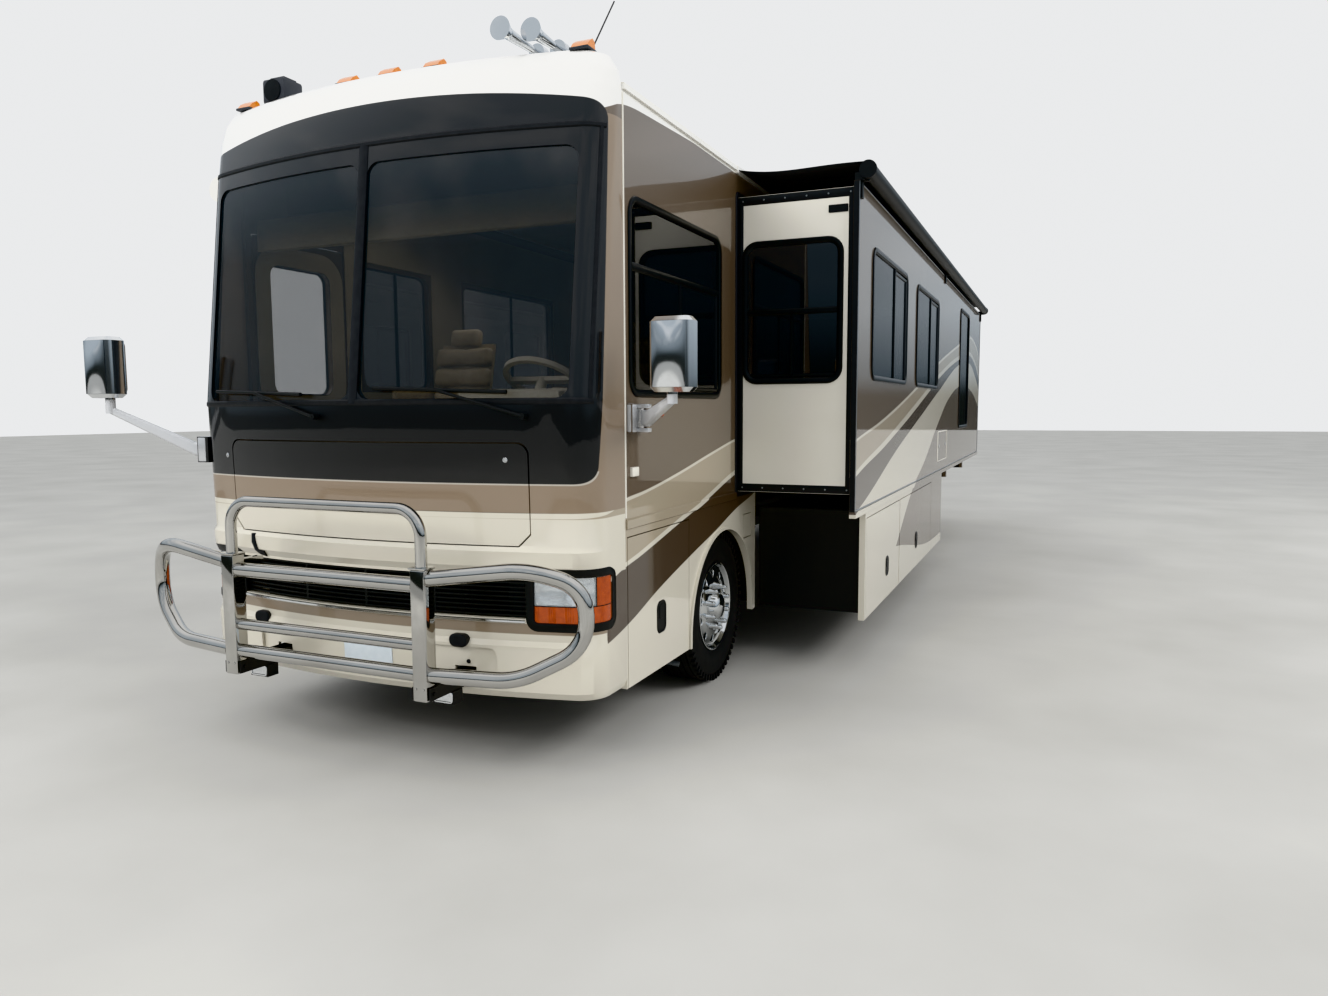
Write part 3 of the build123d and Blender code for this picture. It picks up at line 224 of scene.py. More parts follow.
# Chassis: two pressed channel rails with cross members, axles and engine, in black chassis
# enamel brushed over mill scale. Sheet liners close the wheel houses inside the skirts.
chassis_enamel = grained("black_chassis_enamel", "#1A1B1C", "#2C2A27", 0.25, 0.55, 0.0008)
cast_iron = grained("cast_iron", "#34312D", "#4A443C", 0.08, 0.7, 0.0015, metal=0.6)
galvanised = grained("galvanised_steel", "#6F7274", "#8A8D8F", 0.12, 0.5, metal=0.8)
half_width = 1.285


def dress(material, *nodes):
    """Gives carried-over pieces their finish, with their facets smoothed."""
    for node in nodes:
        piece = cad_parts[node]
        piece.data.materials.clear()
        piece.data.materials.append(material)
        piece.data.polygons.foreach_set("use_smooth", [True] * len(piece.data.polygons))
        weld = piece.modifiers.new("weld", "WELD")
        weld.merge_threshold = 0.00002
        split = piece.modifiers.new("split", "EDGE_SPLIT")
        split.split_angle = math.radians(32)


def joined(bm, rings, closed=True):
    """Faces between successive rings of equally many vertices, round to the first or with end caps."""
    pairs = list(zip(rings, rings[1:]))
    if closed:
        pairs.append((rings[-1], rings[0]))
    else:
        bm.faces.new(rings[0])
        bm.faces.new(reversed(rings[-1]))
    for near, far in pairs:
        for i in range(len(near)):
            j = (i + 1) % len(near)
            bm.faces.new((near[i], near[j], far[j], far[i]))


square = ((1, 0), (1, 1), (-1, 1), (-1, 0))
round_top = ((1, 0), (1, 0.5), (0.55, 1), (-0.55, 1), (-1, 0.5), (-1, 0))


def strip(bm, place, path, half, back, front, section=round_top):
    """A moulding along a path on a surface, half its width to each side, from back to front above it."""
    rings = []
    for i, (a, b) in enumerate(path):
        way = (Vector(path[min(i + 1, len(path) - 1)]) - Vector(path[max(i - 1, 0)])).normalized()
        rings.append([bm.verts.new(place(a - way.y * half * s, b + way.x * half * s,
                                         back + (front - back) * t)) for s, t in section])
    joined(bm, rings, closed=False)


def arc(a, b, radius, start, end, steps=12):
    """Points on a circle round (a, b), between two angles in degrees."""
    turns = [math.radians(start + (end - start) * i / steps) for i in range(steps + 1)]
    return [(a + radius * math.cos(turn), b + radius * math.sin(turn)) for turn in turns]


def left(a, b, w):
    """A place on the driver's side wall: row behind the nose, height and distance outside the wall."""
    return at(half_width + w, a, b)


def right(a, b, w):
    """A place on the passenger's side wall."""
    return at(-half_width - w, a, b)


def tube(bm, points, radius, steps=14):
    """A round bar through points, closed at both ends."""
    rings = []
    side = None
    turns = [2 * math.pi * k / steps for k in range(steps)]
    for i, point in enumerate(points):
        way = (points[min(i + 1, len(points) - 1)] - points[max(i - 1, 0)]).normalized()
        side = way.orthogonal().normalized() if side is None else (side - way * side.dot(way)).normalized()
        other = way.cross(side)
        rings.append([bm.verts.new(point + radius * (side * math.cos(t) + other * math.sin(t)))
                      for t in turns])
    joined(bm, rings, closed=False)


def block(bm, low, high, bevel=0.0):
    """A box between two corners, with its edges rounded."""
    made = bmesh.ops.create_cube(bm, size=1.0)["verts"]
    size = Matrix.Diagonal((*(high - low), 1))
    bmesh.ops.transform(bm, matrix=Matrix.Translation((low + high) / 2) @ size, verts=made)
    if bevel:
        edges = list({edge for vert in made for edge in vert.link_edges})
        bmesh.ops.bevel(bm, geom=edges, offset=bevel, segments=2, affect="EDGES", profile=0.5)


dress(chassis_enamel, "chassis_frame", "guard_mounts", "hitch_receiver", "entry_step", "knuckle_left",
      "knuckle_right", "floor")
dress(cast_iron, "engine_block", "front_axle", "rear_axle")
dress(galvanised, "baggage_bays")
bm = bmesh.new()
front_house = [(1.364, 0.40)] + arc(1.985, 0.415, 0.66, 160, 7, 20) + [(2.64, 0.40)]
rear_house = [(7.735, 0.40)] + arc(8.35, 0.415, 0.615, 180, 0, 20) + [(8.965, 0.40)]
house_reach = (0.60 - half_width, 1.245 - half_width)
for place in (left, right):
    for house in (front_house, rear_house):
        strip(bm, place, house, 0.002, *house_reach, square)
mesh_piece("wheel_house_liners", bm, chassis_enamel)
bm = bmesh.new()
tube(bm, [at(1.02, 1.30, 0.300), at(1.13, 1.31, 0.285), at(1.235, 1.33, 0.268)], 0.016)
mesh_piece("drain_pipe", bm, galvanised)
bm = bmesh.new()
block(bm, at(1.035, 1.285, 0.30), at(1.065, 1.315, 0.47), 0.003)
mesh_piece("drain_pipe_hanger", bm, chassis_enamel)

# Wheels: forged aluminium discs, turned and polished, on radial truck tyres. Ten studs carry
# long polished lug covers round a domed hub cover.
polished_aluminium = grained("polished_forged_aluminium", "#D8DADB", "#C4C7C9", 0.2, 0.1, 0.0001, metal=1.0)
tyre_rubber = grained("moulded_tyre_rubber", "#141414", "#232221", 0.06, 0.62, 0.0006)
tyre_radius = (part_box("wheel_front_left")[1].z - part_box("wheel_front_left")[0].z) / 2
tyre_width = 0.275
tyre_face = 1.240
twin_gap = 0.05
bead_radius = 0.292
tread_lugs = 60
stud_count = 10
stud_circle = 0.142
hole_count = 10
hole_circle = 0.220
hole_radius = 0.023
around = 72
tip = 0.0001

# Sections as (distance outwards, radius). Grooves and lugs are (distance across, depth).
tyre_side = [(0.022, 0.285), (0.022, bead_radius + 0.006), (0.008, 0.318), (0.001, 0.360), (0.0, 0.392),
             (0.004, 0.425), (0.010, 0.450), (0.019, 0.474), (0.032, tyre_radius - 0.006)]
groove = ((-0.0045, 0.001), (-0.0025, 0.012), (0.0025, 0.012), (0.0045, 0.001))
tyre_section = tyre_side + [(edge + across, tyre_radius - deep)
                            for edge in (0.052, 0.095, 0.138, 0.180, 0.223) for across, deep in groove]
tyre_section += [(tyre_width - far, radius) for far, radius in reversed(tyre_side)]
lug_section = ((-0.010, 0.040), (0.010, 0.040), (0.012, 0.003), (-0.012, 0.003))
lug_cover = ((0.0, tip), (0.0, 0.021), (0.006, 0.021), (0.012, 0.0165), (0.052, 0.0155), (0.060, 0.012),
             (0.064, 0.006), (0.065, tip))
hub_cover = ((0.0, tip), (0.0, 0.100), (0.012, 0.100), (0.020, 0.092), (0.050, 0.088), (0.066, 0.074),
             (0.074, 0.050), (0.078, tip))


def rim_section(dish):
    """A rim's section, from its outer bead over the disc, a dish's depth inwards, and back to the well."""
    return [(far - dish * share, radius) for far, share, radius in (
        (0.0, 0, 0.292), (0.002, 0, 0.286), (-0.002, 0, 0.278), (-0.016, 0, 0.270), (-0.030, 0, 0.262),
        (0.0, 0.8, 0.256), (0.004, 1, 0.250), (0.0, 1, 0.238), (0.006, 1, 0.200), (0.016, 1, 0.175),
        (0.018, 1, 0.092), (0.002, 1, 0.088), (-0.010, 1, 0.092), (-0.010, 1, 0.240),
        (-0.200, 0, 0.250), (-0.215, 0, 0.288), (-0.215, 0, 0.292))]


def lathe(bm, profile, centre, out, steps=around, start=0.0):
    """Turns a profile of (distance outwards from start, radius) about an axis along X, closed end to end."""
    turns = [2 * math.pi * i / steps for i in range(steps)]
    joined(bm, [[bm.verts.new(centre + Vector((out * (start + far), radius * math.cos(t),
                                               radius * math.sin(t)))) for t in turns]
                for far, radius in profile])


def repeat_tree():
    """Copies a piece along a line, or turns it about the X axis, and joins the copies."""
    group = bpy.data.node_groups.new("copies_in_a_row_or_ring", "GeometryNodeTree")
    sockets = group.interface
    for name, kind in (("Geometry", "Geometry"), ("Count", "Int"), ("Pitch", "Vector"), ("Turn", "Float"),
                       ("Centre", "Vector"), ("Material", "Material")):
        sockets.new_socket(name, in_out="INPUT", socket_type="NodeSocket" + kind)
    sockets.new_socket("Geometry", in_out="OUTPUT", socket_type="NodeSocketGeometry")
    given = add_node(group, "NodeGroupInput").outputs
    number = add_node(group, "GeometryNodeInputIndex").outputs[0]
    shift = add_node(group, "ShaderNodeVectorMath", {0: given["Pitch"], "Scale": number}, operation="SCALE")
    points = add_node(group, "GeometryNodePoints", {"Count": given["Count"], "Position": shift.outputs[0]})
    spin = add_node(group, "ShaderNodeCombineXYZ", {"X": worked(group, "MULTIPLY", number, given["Turn"])})
    copies = add_node(group, "GeometryNodeInstanceOnPoints", {
        "Points": points.outputs[0], "Instance": given["Geometry"], "Rotation": spin.outputs[0]})
    placed = add_node(group, "GeometryNodeTransform",
                      {"Geometry": copies.outputs[0], "Translation": given["Centre"]})
    real = add_node(group, "GeometryNodeRealizeInstances", {"Geometry": placed.outputs[0]})
    made = add_node(group, "GeometryNodeSetMaterial",
                    {"Geometry": real.outputs[0], "Material": given["Material"]})
    add_node(group, "NodeGroupOutput", {"Geometry": made.outputs[0]})
    return group


copies_tree = repeat_tree()


def plain_mesh(piece):
    """Replaces a piece's mesh by its evaluated one and drops its modifiers."""
    mesh = bpy.data.meshes.new_from_object(piece.evaluated_get(bpy.context.evaluated_depsgraph_get()))
    piece.modifiers.clear()
    piece.data = mesh
    return piece


def repeated(name, bm, material, body, count, pitch=(0, 0, 0), turn=0.0, centre=(0, 0, 0)):
    """Count copies of a small mesh, each a pitch further on and turned by turn about the X axis."""
    piece = mesh_piece(name, bm, material, None)
    copies = piece.modifiers.new("copies", "NODES")
    copies.node_group = copies_tree
    given = {"Count": count, "Pitch": pitch, "Turn": turn, "Centre": centre, "Material": material}
    for item in copies_tree.interface.items_tree:
        if item.in_out == "INPUT" and item.name in given:
            copies[item.identifier] = given[item.name]
    bpy.context.view_layer.update()
    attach(plain_mesh(piece), body)


def rows_of(name, bm, material, body, count, pitch, centres):
    """Rows of copies of a small mesh, one piece for each centre."""
    for number, centre in enumerate(centres, 1):
        repeated("%s_%d" % (name, number), bm.copy(), material, body, count, pitch, centre=centre)
    bm.free()


for corner in ("front_left", "front_right", "rear_left", "rear_right"):
    node = "wheel_" + corner
    low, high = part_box(node)
    out = 1 if corner.endswith("left") else -1
    middle = (low + high) / 2
    hub = Vector((centre_x, middle.y, tyre_radius))
    twin = corner.startswith("rear")
    dish = 0.150 if twin else 0.026
    face = tyre_face - 0.014
    rows = [tyre_face - tyre_width] + ([tyre_face - 2 * tyre_width - twin_gap] if twin else [])
    bm = bmesh.new()
    for row in rows:
        lathe(bm, tyre_section, hub, out, 96, row)
    tyre = mesh_piece(node + "_tyre", bm, tyre_rubber, node, 35)
    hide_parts(node)
    bm = bmesh.new()
    for near in [row + tyre_width - 0.034 for row in rows] + rows:
        joined(bm, [[bm.verts.new((out * (near + end), y, tyre_radius - deep)) for y, deep in lug_section]
                    for end in (0.004, 0.030)], closed=False)
    repeated(node + "_shoulder_lugs", bm, tyre_rubber, node, tread_lugs,
             turn=2 * math.pi / tread_lugs, centre=hub)
    bm = bmesh.new()
    lathe(bm, rim_section(dish), hub, out, start=face)
    if twin:
        lathe(bm, [(-far, radius) for far, radius in rim_section(dish)], hub, out, start=rows[1] + 0.014)
    rim = mesh_piece(node + "_rim", bm, polished_aluminium, node, 30)
    bm = bmesh.new()
    for i in range(hole_count):
        turn = 2 * math.pi * (i + 0.5) / hole_count
        place = (out * (face - dish), hole_circle * math.cos(turn), hole_circle * math.sin(turn))
        matrix = (Matrix.Translation(hub) @ Matrix.Translation(place) @ Matrix.Rotation(math.pi / 2, 4, "Y"))
        bmesh.ops.create_cone(bm, cap_ends=True, segments=20, radius1=hole_radius, radius2=hole_radius,
                              depth=0.06, matrix=matrix)
    cutter = mesh_piece(node + "_cutter", bm, polished_aluminium, None)
    cut = rim.modifiers.new("holes", "BOOLEAN")
    cut.object = cutter
    cut.solver = "EXACT"
    plain_mesh(rim)
    bpy.data.objects.remove(cutter)
    bm = bmesh.new()
    lathe(bm, lug_cover, Vector((0, 0, stud_circle)), out, 18, face - dish + 0.010)
    repeated(node + "_lug_covers", bm, polished_aluminium, node, stud_count,
             turn=2 * math.pi / stud_count, centre=hub)
    bm = bmesh.new()
    lathe(bm, hub_cover, hub, out, 48, face - dish)
    mesh_piece(node + "_hub_cover", bm, polished_aluminium, node)

# Painted panels: moulded glass-fibre ends and laminated walls, sprayed with base coat and
# clear coat. Masked sweeps rise from the nose along both sides and fall again at the tail.
paint_white = "#F2F0EC"
paint_cream = "#D5CFC0"
paint_taupe = "#A89C88"
paint_brown = "#675A4C"
paint_dark = "#4A3D30"
height_span = 4.0
row_span = 13.0

# Each sweep's lower colour and its upper edge as (row behind the nose, height)
sweeps = [
    (paint_brown, [(0, 3.19), (0.3, 3.20), (0.5, 3.27), (0.8, 3.30), (13, 3.30)]),
    (paint_cream, [(0, 1.296), (0.3, 1.31), (0.5, 1.345), (0.75, 1.368), (1.18, 1.429), (1.74, 1.523),
     (2.23, 1.60), (3.11, 1.71), (4.82, 1.99), (6.16, 2.245), (8.44, 2.605), (9.51, 2.767),
     (10.6, 2.704), (11.15, 2.547), (12.15, 2.15), (13, 1.8)]),
    (paint_taupe, [(0, 1.27), (0.3, 1.285), (0.5, 1.325), (0.75, 1.352), (1.18, 1.413), (1.74, 1.507),
     (2.23, 1.584), (3.11, 1.69), (4.82, 1.965), (6.16, 2.22), (8.44, 2.575), (9.51, 2.735),
     (10.6, 2.67), (11.15, 2.51), (12.15, 2.11), (13, 1.75)]),
    (paint_cream, [(0, 0.72), (0.3, 0.945), (0.4, 0.992), (0.7, 1.054), (1.28, 1.18), (1.56, 1.236),
     (2.23, 1.393), (3.25, 1.56), (5.66, 2.01), (6.4, 2.155), (8.48, 2.46), (9.6, 2.56), (10.6, 2.45),
     (11.15, 2.3), (12.15, 1.9), (13, 1.5)]),
    (paint_dark, [(0, 0.70), (0.3, 0.925), (0.4, 0.97), (0.7, 1.028), (1.28, 1.15), (1.56, 1.206),
     (2.23, 1.36), (3.25, 1.515), (5.66, 1.96), (6.4, 2.11), (8.48, 2.41), (9.6, 2.51), (10.6, 2.4),
     (11.15, 2.25), (12.15, 1.85), (13, 1.45)]),
    (paint_cream, [(0, 0.60), (0.3, 0.645), (0.54, 0.696), (0.92, 0.806), (1.44, 0.933), (1.83, 1.021),
     (2.24, 1.125), (2.54, 1.18), (3.75, 1.459), (5.3, 1.763), (6.32, 1.963), (8.51, 2.348), (9.7, 2.40),
     (10.6, 2.25), (11.15, 2.1), (12.15, 1.7), (13, 1.3)]),
    (paint_brown, [(0, 0.0), (2.3, 0.0), (2.92, 0.258), (3.91, 0.72), (4.46, 0.99), (4.77, 1.113),
     (5.38, 1.282), (6.39, 1.642), (7.36, 1.916), (8.58, 2.07), (9.93, 2.04), (11.14, 1.827),
     (12.15, 1.5), (13, 1.2)]),
    (paint_cream, [(0, 0.0), (2.4, 0.0), (2.6, 0.62), (6.03, 0.444), (8, 0.43), (13, 0.43)]),
]


def place_from_nose(tree):
    """Distances from the centreline, behind the nose and above the ground, in metres."""
    place = add_node(tree, "ShaderNodeTexCoord")
    shift = add_node(tree, "ShaderNodeMapping",
                     {"Vector": place.outputs["Object"], "Location": (-centre_x, -front_y, 0)})
    return add_node(tree, "ShaderNodeSeparateXYZ", {"Vector": shift.outputs["Vector"]}).outputs


def sprayed(tree, below, code, *limits, soft=0.0015):
    """Sprays a hex colour over another inside all limits, each a value, its edge and 1 above or -1 below."""
    mask = None
    for value, edge, sense in limits:
        inside = ranged(tree, worked(tree, "SUBTRACT", value, edge), -sense * soft, sense * soft)
        mask = inside if mask is None else worked(tree, "MULTIPLY", mask, inside)
    return mixed(tree, mask, below, colour(code))


def sweep_paint(tree, place):
    """The sweeps' colours at a place, from the roof's white down."""
    share = worked(tree, "DIVIDE", place["Y"], row_span)
    painted = colour(paint_white)
    for code, points in sweeps:
        shares = [(row / row_span, height / height_span) for row, height in points]
        curve = add_node(tree, "ShaderNodeFloatCurve", {"Value": share})
        line = curve.mapping.curves[0]
        line.points[0].location = shares[0]
        line.points[1].location = shares[-1]
        for row, height in shares[1:-1]:
            line.points.new(row, height)
        curve.mapping.update()
        edge = worked(tree, "MULTIPLY", curve.outputs[0], height_span)
        painted = sprayed(tree, painted, code, (place["Z"], edge, -1))
    return painted


def clear_coat(tree, shader, painted):
    """Joins a colour to a shader under clear coat, with a faint orange peel."""
    tree.links.new(painted, shader.inputs["Base Color"])
    place = add_node(tree, "ShaderNodeTexCoord").outputs["Object"]
    bumped(tree, clouded(tree, place, 90.0, 1.0), 0.00005, shader.inputs["Coat Normal"])


clear = {"Roughness": 0.4, "Coat Weight": 1.0, "Coat Roughness": 0.02, "Coat IOR": 1.55}
side_enamel, tree, shader = new_finish("base_and_clear_coat_sides", clear)
clear_coat(tree, shader, sweep_paint(tree, place_from_nose(tree)))
basement_enamel, tree, shader = new_finish("base_and_clear_coat_basement", clear)
basement_face = 2.052
place = place_from_nose(tree)
clear_coat(tree, shader, sprayed(tree, sweep_paint(tree, place), "#121212", (place["X"], basement_face, -1)))
tree.links.new(worked(tree, "GREATER_THAN", place["X"], basement_face), shader.inputs["Coat Weight"])

dress(side_enamel, "left_wall", "right_wall", "left_skirt", "right_skirt", "rear_cap", "bay_door_front_left",
      "bay_door_rear_left", "bay_door_right_1", "bay_door_right_2", "bay_door_right_3", "fuel_door",
      "entry_door", "engine_door", "slide_fascia", "slide_door_1", "slide_door_2")
dress(basement_enamel, "slide_basement")

# The slide-out's end faces and the roof: warm white gel coat, chalked a little by the sun
end_panel = grained("warm_white_gel_coat", "#EAE6DB", "#E0DBCE", 0.9, 0.3, coat=0.6)
roof_coat = grained("white_gel_coat", "#F1EFEA", "#E6E3DB", 0.7, 0.34, coat=0.5, coat_rough=0.12)
dress(end_panel, "slide_room")
dress(roof_coat, "roof")

# Front cap and fascia: one glass-fibre moulding each. A ceramic black surround frames the
# screen round both corners, a brown band lies under it, and the roll and bumper are cream.
# The cap's brown is painted lighter than the sides' brown: painted light on the sunlit front.
mask_low = 1.440
mask_top = 3.352
mask_arch = 0.060
mask_side = 0.115
mask_lean = 0.0875
mask_corner = 0.085
face_row = 0.30
cap_row = 0.505
front_enamel, tree, shader = new_finish("base_and_clear_coat_front", clear)
place = place_from_nose(tree)
painted = sweep_paint(tree, place)
before_seam = (place["Y"], cap_row, -1)
on_face = (place["Y"], face_row, -1)
# 8C7B68 on the cap ahead of the seam is painted light: the sides' brown paint, lightened where the front
# faces the sky
for code, side, low, high in ((paint_cream, before_seam, 0.985, 1.27), (paint_cream, on_face, 0.0, 1.0),
                              ("#8B7C69", on_face, 0.70, 0.752), ("#8C7B68", before_seam, 1.30, 3.2)):
    painted = sprayed(tree, painted, code, side, (place["Z"], low, 1), (place["Z"], high, -1))


def mask_distance(tree, place, grow):
    """How far a place lies inside the surround's rounded outline, in its corner circles' terms."""
    drop = worked(tree, "MULTIPLY", worked(tree, "POWER", place["X"], 2.0), mask_arch)
    from_top = worked(tree, "SUBTRACT", worked(tree, "SUBTRACT", mask_top + grow, drop), place["Z"])
    from_low = worked(tree, "SUBTRACT", place["Z"], mask_low - grow)
    edge = worked(tree, "ADD", worked(tree, "MULTIPLY", place["Z"], mask_lean), mask_side + grow)
    from_side = worked(tree, "SUBTRACT", edge, place["Y"])
    level = worked(tree, "SUBTRACT", mask_corner, worked(tree, "MINIMUM", from_top, from_low))
    aside = worked(tree, "SUBTRACT", mask_corner, from_side)
    flat = add_node(tree, "ShaderNodeCombineXYZ",
                    {"X": worked(tree, "MAXIMUM", level, 0.0), "Y": worked(tree, "MAXIMUM", aside, 0.0)})
    return add_node(tree, "ShaderNodeVectorMath", {0: flat.outputs[0]}, operation="LENGTH").outputs["Value"]


rim_line = mask_distance(tree, place, 0.007)
ceramic = mask_distance(tree, place, 0.0)
painted = sprayed(tree, painted, "#B9B2A6", before_seam, (rim_line, mask_corner, -1), (place["Z"], 1.5, -1))
painted = sprayed(tree, painted, "#0A0A0B", before_seam, (ceramic, mask_corner, -1))
clear_coat(tree, shader, painted)
dress(front_enamel, "front_cap", "front_hatch", "lower_fascia")

# Windscreen: two panes of laminated safety glass in black rubber, under a rubber header
# strip. The glass is tinted, and darker along the top. The wipers are black plastic.
safety_glass, tree, shader = new_finish(
    "laminated_safety_glass", {"Base Color": "#0E1519", "Roughness": 0.02, "IOR": 1.95, "Alpha": 0.4})
shade = ranged(tree, place_from_nose(tree)["Z"], 2.6, 3.0, 0.34, 0.85)
tree.links.new(shade, shader.inputs["Alpha"])
black_rubber = grained("black_rubber_seal", "#1B1C1E", "#28292B", 0.03, 0.5, 0.0002)
black_abs = grained("black_moulded_abs", "#121313", "#1C1D1D", 0.02, 0.42, 0.0001)
dress(safety_glass, "windscreen")
dress(black_abs, "wipers")
nose_bend = 4.67

# The nose by height: its front row, half width and corner radius
nose_levels = [
    (0.37, 0.055, 1.27, 0.15), (0.41, 0.02, 1.285, 0.165), (0.64, 0.012, 1.285, 0.165),
    (0.665, 0.03, 1.285, 0.165), (1.0, 0.03, 1.285, 0.165), (1.035, 0.004, 1.285, 0.165),
    (1.11, 0.0, 1.285, 0.165), (1.14, 0.018, 1.285, 0.165), (1.44, 0.01, 1.285, 0.165),
    (1.84, 0.0, 1.285, 0.165), (3.12, 0.153, 1.285, 0.165), (3.33, 0.19, 1.285, 0.15),
    (3.43, 0.225, 1.268, 0.12), (3.5, 0.265, 1.225, 0.09), (3.532, 0.31, 1.15, 0.06)]


def nose(u, v, w):
    """A place on the nose: distance from the centreline along the surface, height and distance off it."""
    v = min(max(v, nose_levels[0][0]), nose_levels[-1][0])
    below, above = next(pair for pair in zip(nose_levels, nose_levels[1:]) if pair[1][0] >= v)
    share = (v - below[0]) / (above[0] - below[0])
    front, half, corner = [below[i] + (above[i] - below[i]) * share for i in (1, 2, 3)]
    side = half - corner
    lean = math.asin(side / (nose_bend - corner))
    corner_y = front + nose_bend - math.sqrt((nose_bend - corner) ** 2 - side ** 2)
    flat = nose_bend * lean
    bend = corner * (math.pi / 2 - lean)
    out = abs(u)
    if out <= flat:
        x = (nose_bend + w) * math.sin(out / nose_bend)
        y = front + nose_bend - (nose_bend + w) * math.cos(out / nose_bend)
    elif out <= flat + bend:
        turn = lean + (out - flat) / corner
        x = side + (corner + w) * math.sin(turn)
        y = corner_y - (corner + w) * math.cos(turn)
    else:
        x = half + w
        y = corner_y + out - flat - bend
    return at(math.copysign(x, u), y, v)


def run(start, end, steps=24):
    """Points along a straight line on a surface."""
    return [(start[0] + (end[0] - start[0]) * i / steps, start[1] + (end[1] - start[1]) * i / steps)
            for i in range(steps + 1)]


bm = bmesh.new()
strip(bm, nose, run((-1.30, 1.836), (1.30, 1.836), 60), 0.016, -0.004, 0.007)
strip(bm, nose, run((-1.305, 3.140), (1.305, 3.140), 60), 0.013, -0.004, 0.008)
strip(bm, nose, run((0, 1.83), (0, 3.135)), 0.028, -0.004, 0.009)
for side in (-1, 1):
    strip(bm, nose, run((side * 1.283, 1.83), (side * 1.283, 3.135)), 0.012, -0.004, 0.006)
mesh_piece("windscreen_rubbers", bm, black_rubber)

# Front hatch: a glass-fibre lid over the service bay, with two chromed key locks
chrome_cover = grained("chromed_abs", "#DFE1E3", "#D2D5D8", 0.3, 0.08, metal=1.0)


def outline(rect, radius, steps=6, grow=0.0, fill=0):
    """A rounded rectangle's points, grown on all sides, with fill more points along each straight side."""
    a0, b0, a1, b1 = rect
    bend = max(radius + grow, 0.0004)
    ends = ((a1 + grow - bend, b1 + grow - bend), (a0 - grow + bend, b1 + grow - bend),
            (a0 - grow + bend, b0 - grow + bend), (a1 + grow - bend, b0 - grow + bend))
    points = []
    for number, (a, b) in enumerate(ends):
        turn = arc(a, b, bend, 90 * number, 90 * number + 90, steps)
        if points and fill:
            points += run(points[-1], turn[0], fill + 1)[1:-1]
        points += turn
    return points + (run(points[-1], points[0], fill + 1)[1:-1] if fill else [])


def moulding(bm, place, rect, radius, profile, steps=6, fill=0):
    """A closed moulding round a rounded rectangle; its profile runs by (distance outside it, height)."""
    joined(bm, [[bm.verts.new(place(a, b, w)) for a, b in outline(rect, radius, steps, grow, fill)]
                for grow, w in profile])


def plate(bm, place, rect, radius, back, front, bevel=0.002, steps=6):
    """A flat plate with rounded corners and a bevelled front edge."""
    joined(bm, [[bm.verts.new(place(a, b, w)) for a, b in outline(rect, radius, steps, grow)]
                for grow, w in ((0.0, back), (0.0, front - bevel), (-bevel, front))], closed=False)


def netted(bm, rows):
    """Faces between the neighbours in a net of vertices."""
    for near, far in zip(rows, rows[1:]):
        for i in range(len(near) - 1):
            bm.faces.new((near[i], near[i + 1], far[i + 1], far[i]))


def sheet(bm, place, rect, back, front, columns=1, rows=1):
    """A closed sheet over a surface between two heights, the front one a number or a function."""
    a0, b0, a1, b1 = rect
    across = [a0 + (a1 - a0) * i / columns for i in range(columns + 1)]
    upwards = [b0 + (b1 - b0) * j / rows for j in range(rows + 1)]
    edges = []
    for height in (back, front):
        layer = [[bm.verts.new(place(a, b, height(a, b) if callable(height) else height)) for a in across]
                 for b in upwards]
        netted(bm, layer)
        edges.append(layer[0] + [line[-1] for line in layer[1:-1]] + layer[-1][::-1]
                     + [line[0] for line in layer[-2:0:-1]])
    for i in range(len(edges[0])):
        j = (i + 1) % len(edges[0])
        bm.faces.new((edges[0][i], edges[0][j], edges[1][j], edges[1][i]))


def round_plate(bm, place, a, b, radius, back, front, bevel=0.002):
    """A round plate on a surface."""
    plate(bm, place, (a - radius, b - radius, a + radius, b + radius), radius, back, front, bevel)


bm = bmesh.new()
for u, v in ((0.854, 1.555), (-1.026, 1.549)):
    round_plate(bm, nose, u, v, 0.013, -0.004, 0.004)
    round_plate(bm, nose, u, v, 0.006, 0.003, 0.007)
mesh_piece("hatch_locks", bm, chrome_cover)

# Grille: moulded black slats over a chromed strip that closes the panel
dress(black_abs, "grille")
bm = bmesh.new()
strip(bm, nose, run((-0.928, 0.762), (0.928, 0.762), 40), 0.008, -0.002, 0.008)
mesh_piece("grille_foot_strip", bm, chrome_cover)

# Headlamps: chromed reflector bowls behind a clear fluted lens, with an amber side lamp
# round the corner and an amber strip below, all in a black moulded bezel
amber_lens = grained("amber_polycarbonate", "#B84E10", "#8C340A", 0.03, 0.15, coat=0.7)
red_lens = grained("red_polycarbonate", "#A3130F", "#7E0C0A", 0.02, 0.12, coat=0.6)
clear_lens = new_finish(
    "clear_polycarbonate", {"Base Color": "#E8EEF0", "Roughness": 0.04, "IOR": 1.5, "Alpha": 0.22})[0]
reflector = grained("vacuum_metallised_reflector", "#E4E6E8", "#B4B8BC", 0.012, 0.12, 0.0015, metal=1.0)
lamp_in = 0.976
lamp_split = 1.292
lamp_out = 1.402
lamp_low = 0.759
lamp_mid = 0.842
lamp_high = 0.985


def bowls(u, v):
    """The reflector's height behind the surface: two shallow bowls side by side."""
    middle_u = (lamp_in + lamp_split) / 2
    nearest = lamp_in + (lamp_split - lamp_in) * (0.27 if abs(u) < middle_u else 0.73)
    off = math.hypot((abs(u) - nearest) / 0.085, (v - 0.915) / 0.085)
    return -0.052 + 0.036 * min(off, 1.0) ** 2


def lamp_rect(side, start, end, low, high):
    """A rectangle on one side of the nose, between two distances from the centreline."""
    near, far = sorted((side * start, side * end))
    return near, low, far, high


